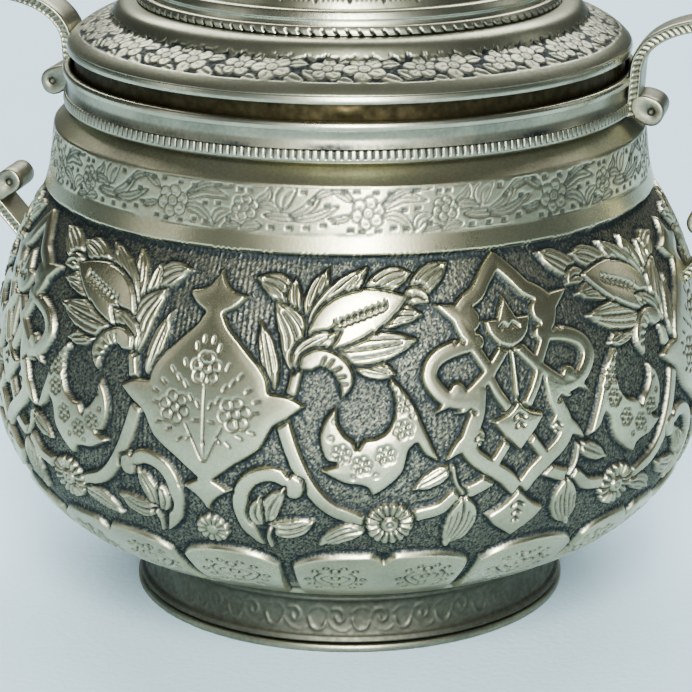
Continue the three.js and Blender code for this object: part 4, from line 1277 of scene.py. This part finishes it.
flat = nut_r * math.cos(math.pi / 6) / np.cos(nut_turn)[None, :] - nut_r
chamfer = -0.25 * smooth((np.abs(nut_line[:, 1:] - (nut_z0 + nut_z1) / 2) - 0.7) / 0.35)
nut_lift = np.where(nut_line[:, :1] > nut_r - 0.35, np.minimum(flat, chamfer), 0)
nut = turned("hex_nut", nut_line, 180, nut_lift, 0.3)
deliver(nut, "lid", fitting_silver, "fitting_silver", "finial_nut")

# %% [markdown]
# ## Studio
#
# The bowl stands on a pale cloth in a dim room, which the silver shows as its darker parts. A tall narrow
# window in front makes the bright streak down the middle, a large light above and behind makes the lid and
# the upper surfaces pale, and two weak lights at the sides keep the edges from going black.

# %% Floor
floor_mesh = bpy.data.meshes.new("pale_floor")
floor_mesh.from_pydata([(-3, -3, 0), (3, -3, 0), (3, 3, 0), (-3, 3, 0)], [], [(0, 1, 2, 3)])
floor = bpy.data.objects.new("pale_floor", floor_mesh)
bpy.context.scene.collection.objects.link(floor)
cloth = bpy.data.materials.new("pale_cotton_cloth")
cloth.use_nodes = True  # woven cotton: pale, quite dull, with a thread that is finer than it shows
tree = cloth.node_tree
tree.nodes.clear()
cloth_place = add(tree, "ShaderNodeTexCoord").outputs["Object"]
weave = add(tree, "ShaderNodeTexNoise", {"Vector": cloth_place, "Scale": 900.0, "Detail": 2.0})
# Painted shade: the cloth's pale blue is mixed in slow patches with a darker, shaded blue, as folds would
# shade it.
painted_fold_shade = add(tree, "ShaderNodeTexNoise", {"Vector": cloth_place, "Scale": 6.0, "Detail": 2.0})
cloth_tone = add(
    tree, "ShaderNodeMix", {0: painted_fold_shade.outputs["Fac"], 6: colour("C2DCE9"), 7: colour("CEE7F3")},
    data_type="RGBA",
)  # fmt: skip
cloth_bump = add(
    tree, "ShaderNodeBump", {"Height": weave.outputs["Fac"], "Strength": 0.3, "Distance": 0.3 * MM}
)
cloth_shader = add(
    tree, "ShaderNodeBsdfPrincipled",
    {"Base Color": cloth_tone.outputs[2], "Roughness": 0.95, "Normal": cloth_bump.outputs["Normal"]},
)  # fmt: skip
add(tree, "ShaderNodeOutputMaterial", {"Surface": cloth_shader.outputs[0]})
floor_mesh.materials.append(cloth)

# %% Lights
world = bpy.data.worlds.new("room")
bpy.context.scene.world = world
world.use_nodes = True
room = world.node_tree.nodes["Background"]
room.inputs["Color"].default_value = colour("A9B0B4")
room.inputs["Strength"].default_value = 0.24


def soft_light(name, place, size, power):
    """A rectangular soft light that faces the bowl."""
    data = bpy.data.lights.new(name, "AREA")
    data.shape = "RECTANGLE"
    data.size, data.size_y = size
    data.energy = power
    lamp = bpy.data.objects.new(name, data)
    lamp.location = place
    way = np.array([0, 0, 0.05]) - np.array(place)
    lamp.rotation_euler = Vector(way).to_track_quat("-Z", "Y").to_euler()
    bpy.context.scene.collection.objects.link(lamp)


for name, place, size, power in (
    ("window_light", (0.04, -1.25, 0.6), (0.4, 1.35), 46.0),
    ("sky_light", (0.0, 1.15, 1.4), (2.2, 1.3), 48.0),
    ("left_light", (-1.2, -0.35, 0.5), (0.5, 0.9), 1.6),
    ("right_light", (1.3, 0.3, 0.6), (0.5, 0.8), 1.2),
):
    soft_light(name, place, size, power)

# %% Camera
bpy.context.scene.view_settings.look = "AgX - Medium High Contrast"
camera_data = bpy.data.cameras.new("camera")
camera_data.sensor_width = 36
camera_data.lens = 151.7
camera_data.shift_x = -0.0055
camera_data.clip_start = 0.01
camera = bpy.data.objects.new("camera", camera_data)
camera.location = Vector((0, -438.8, 176.0)) * MM
aim = Vector((0, 0, 37.8)) * MM
camera.rotation_euler = (aim - camera.location).to_track_quat("-Z", "Y").to_euler()
bpy.context.scene.collection.objects.link(camera)
bpy.context.scene.camera = camera
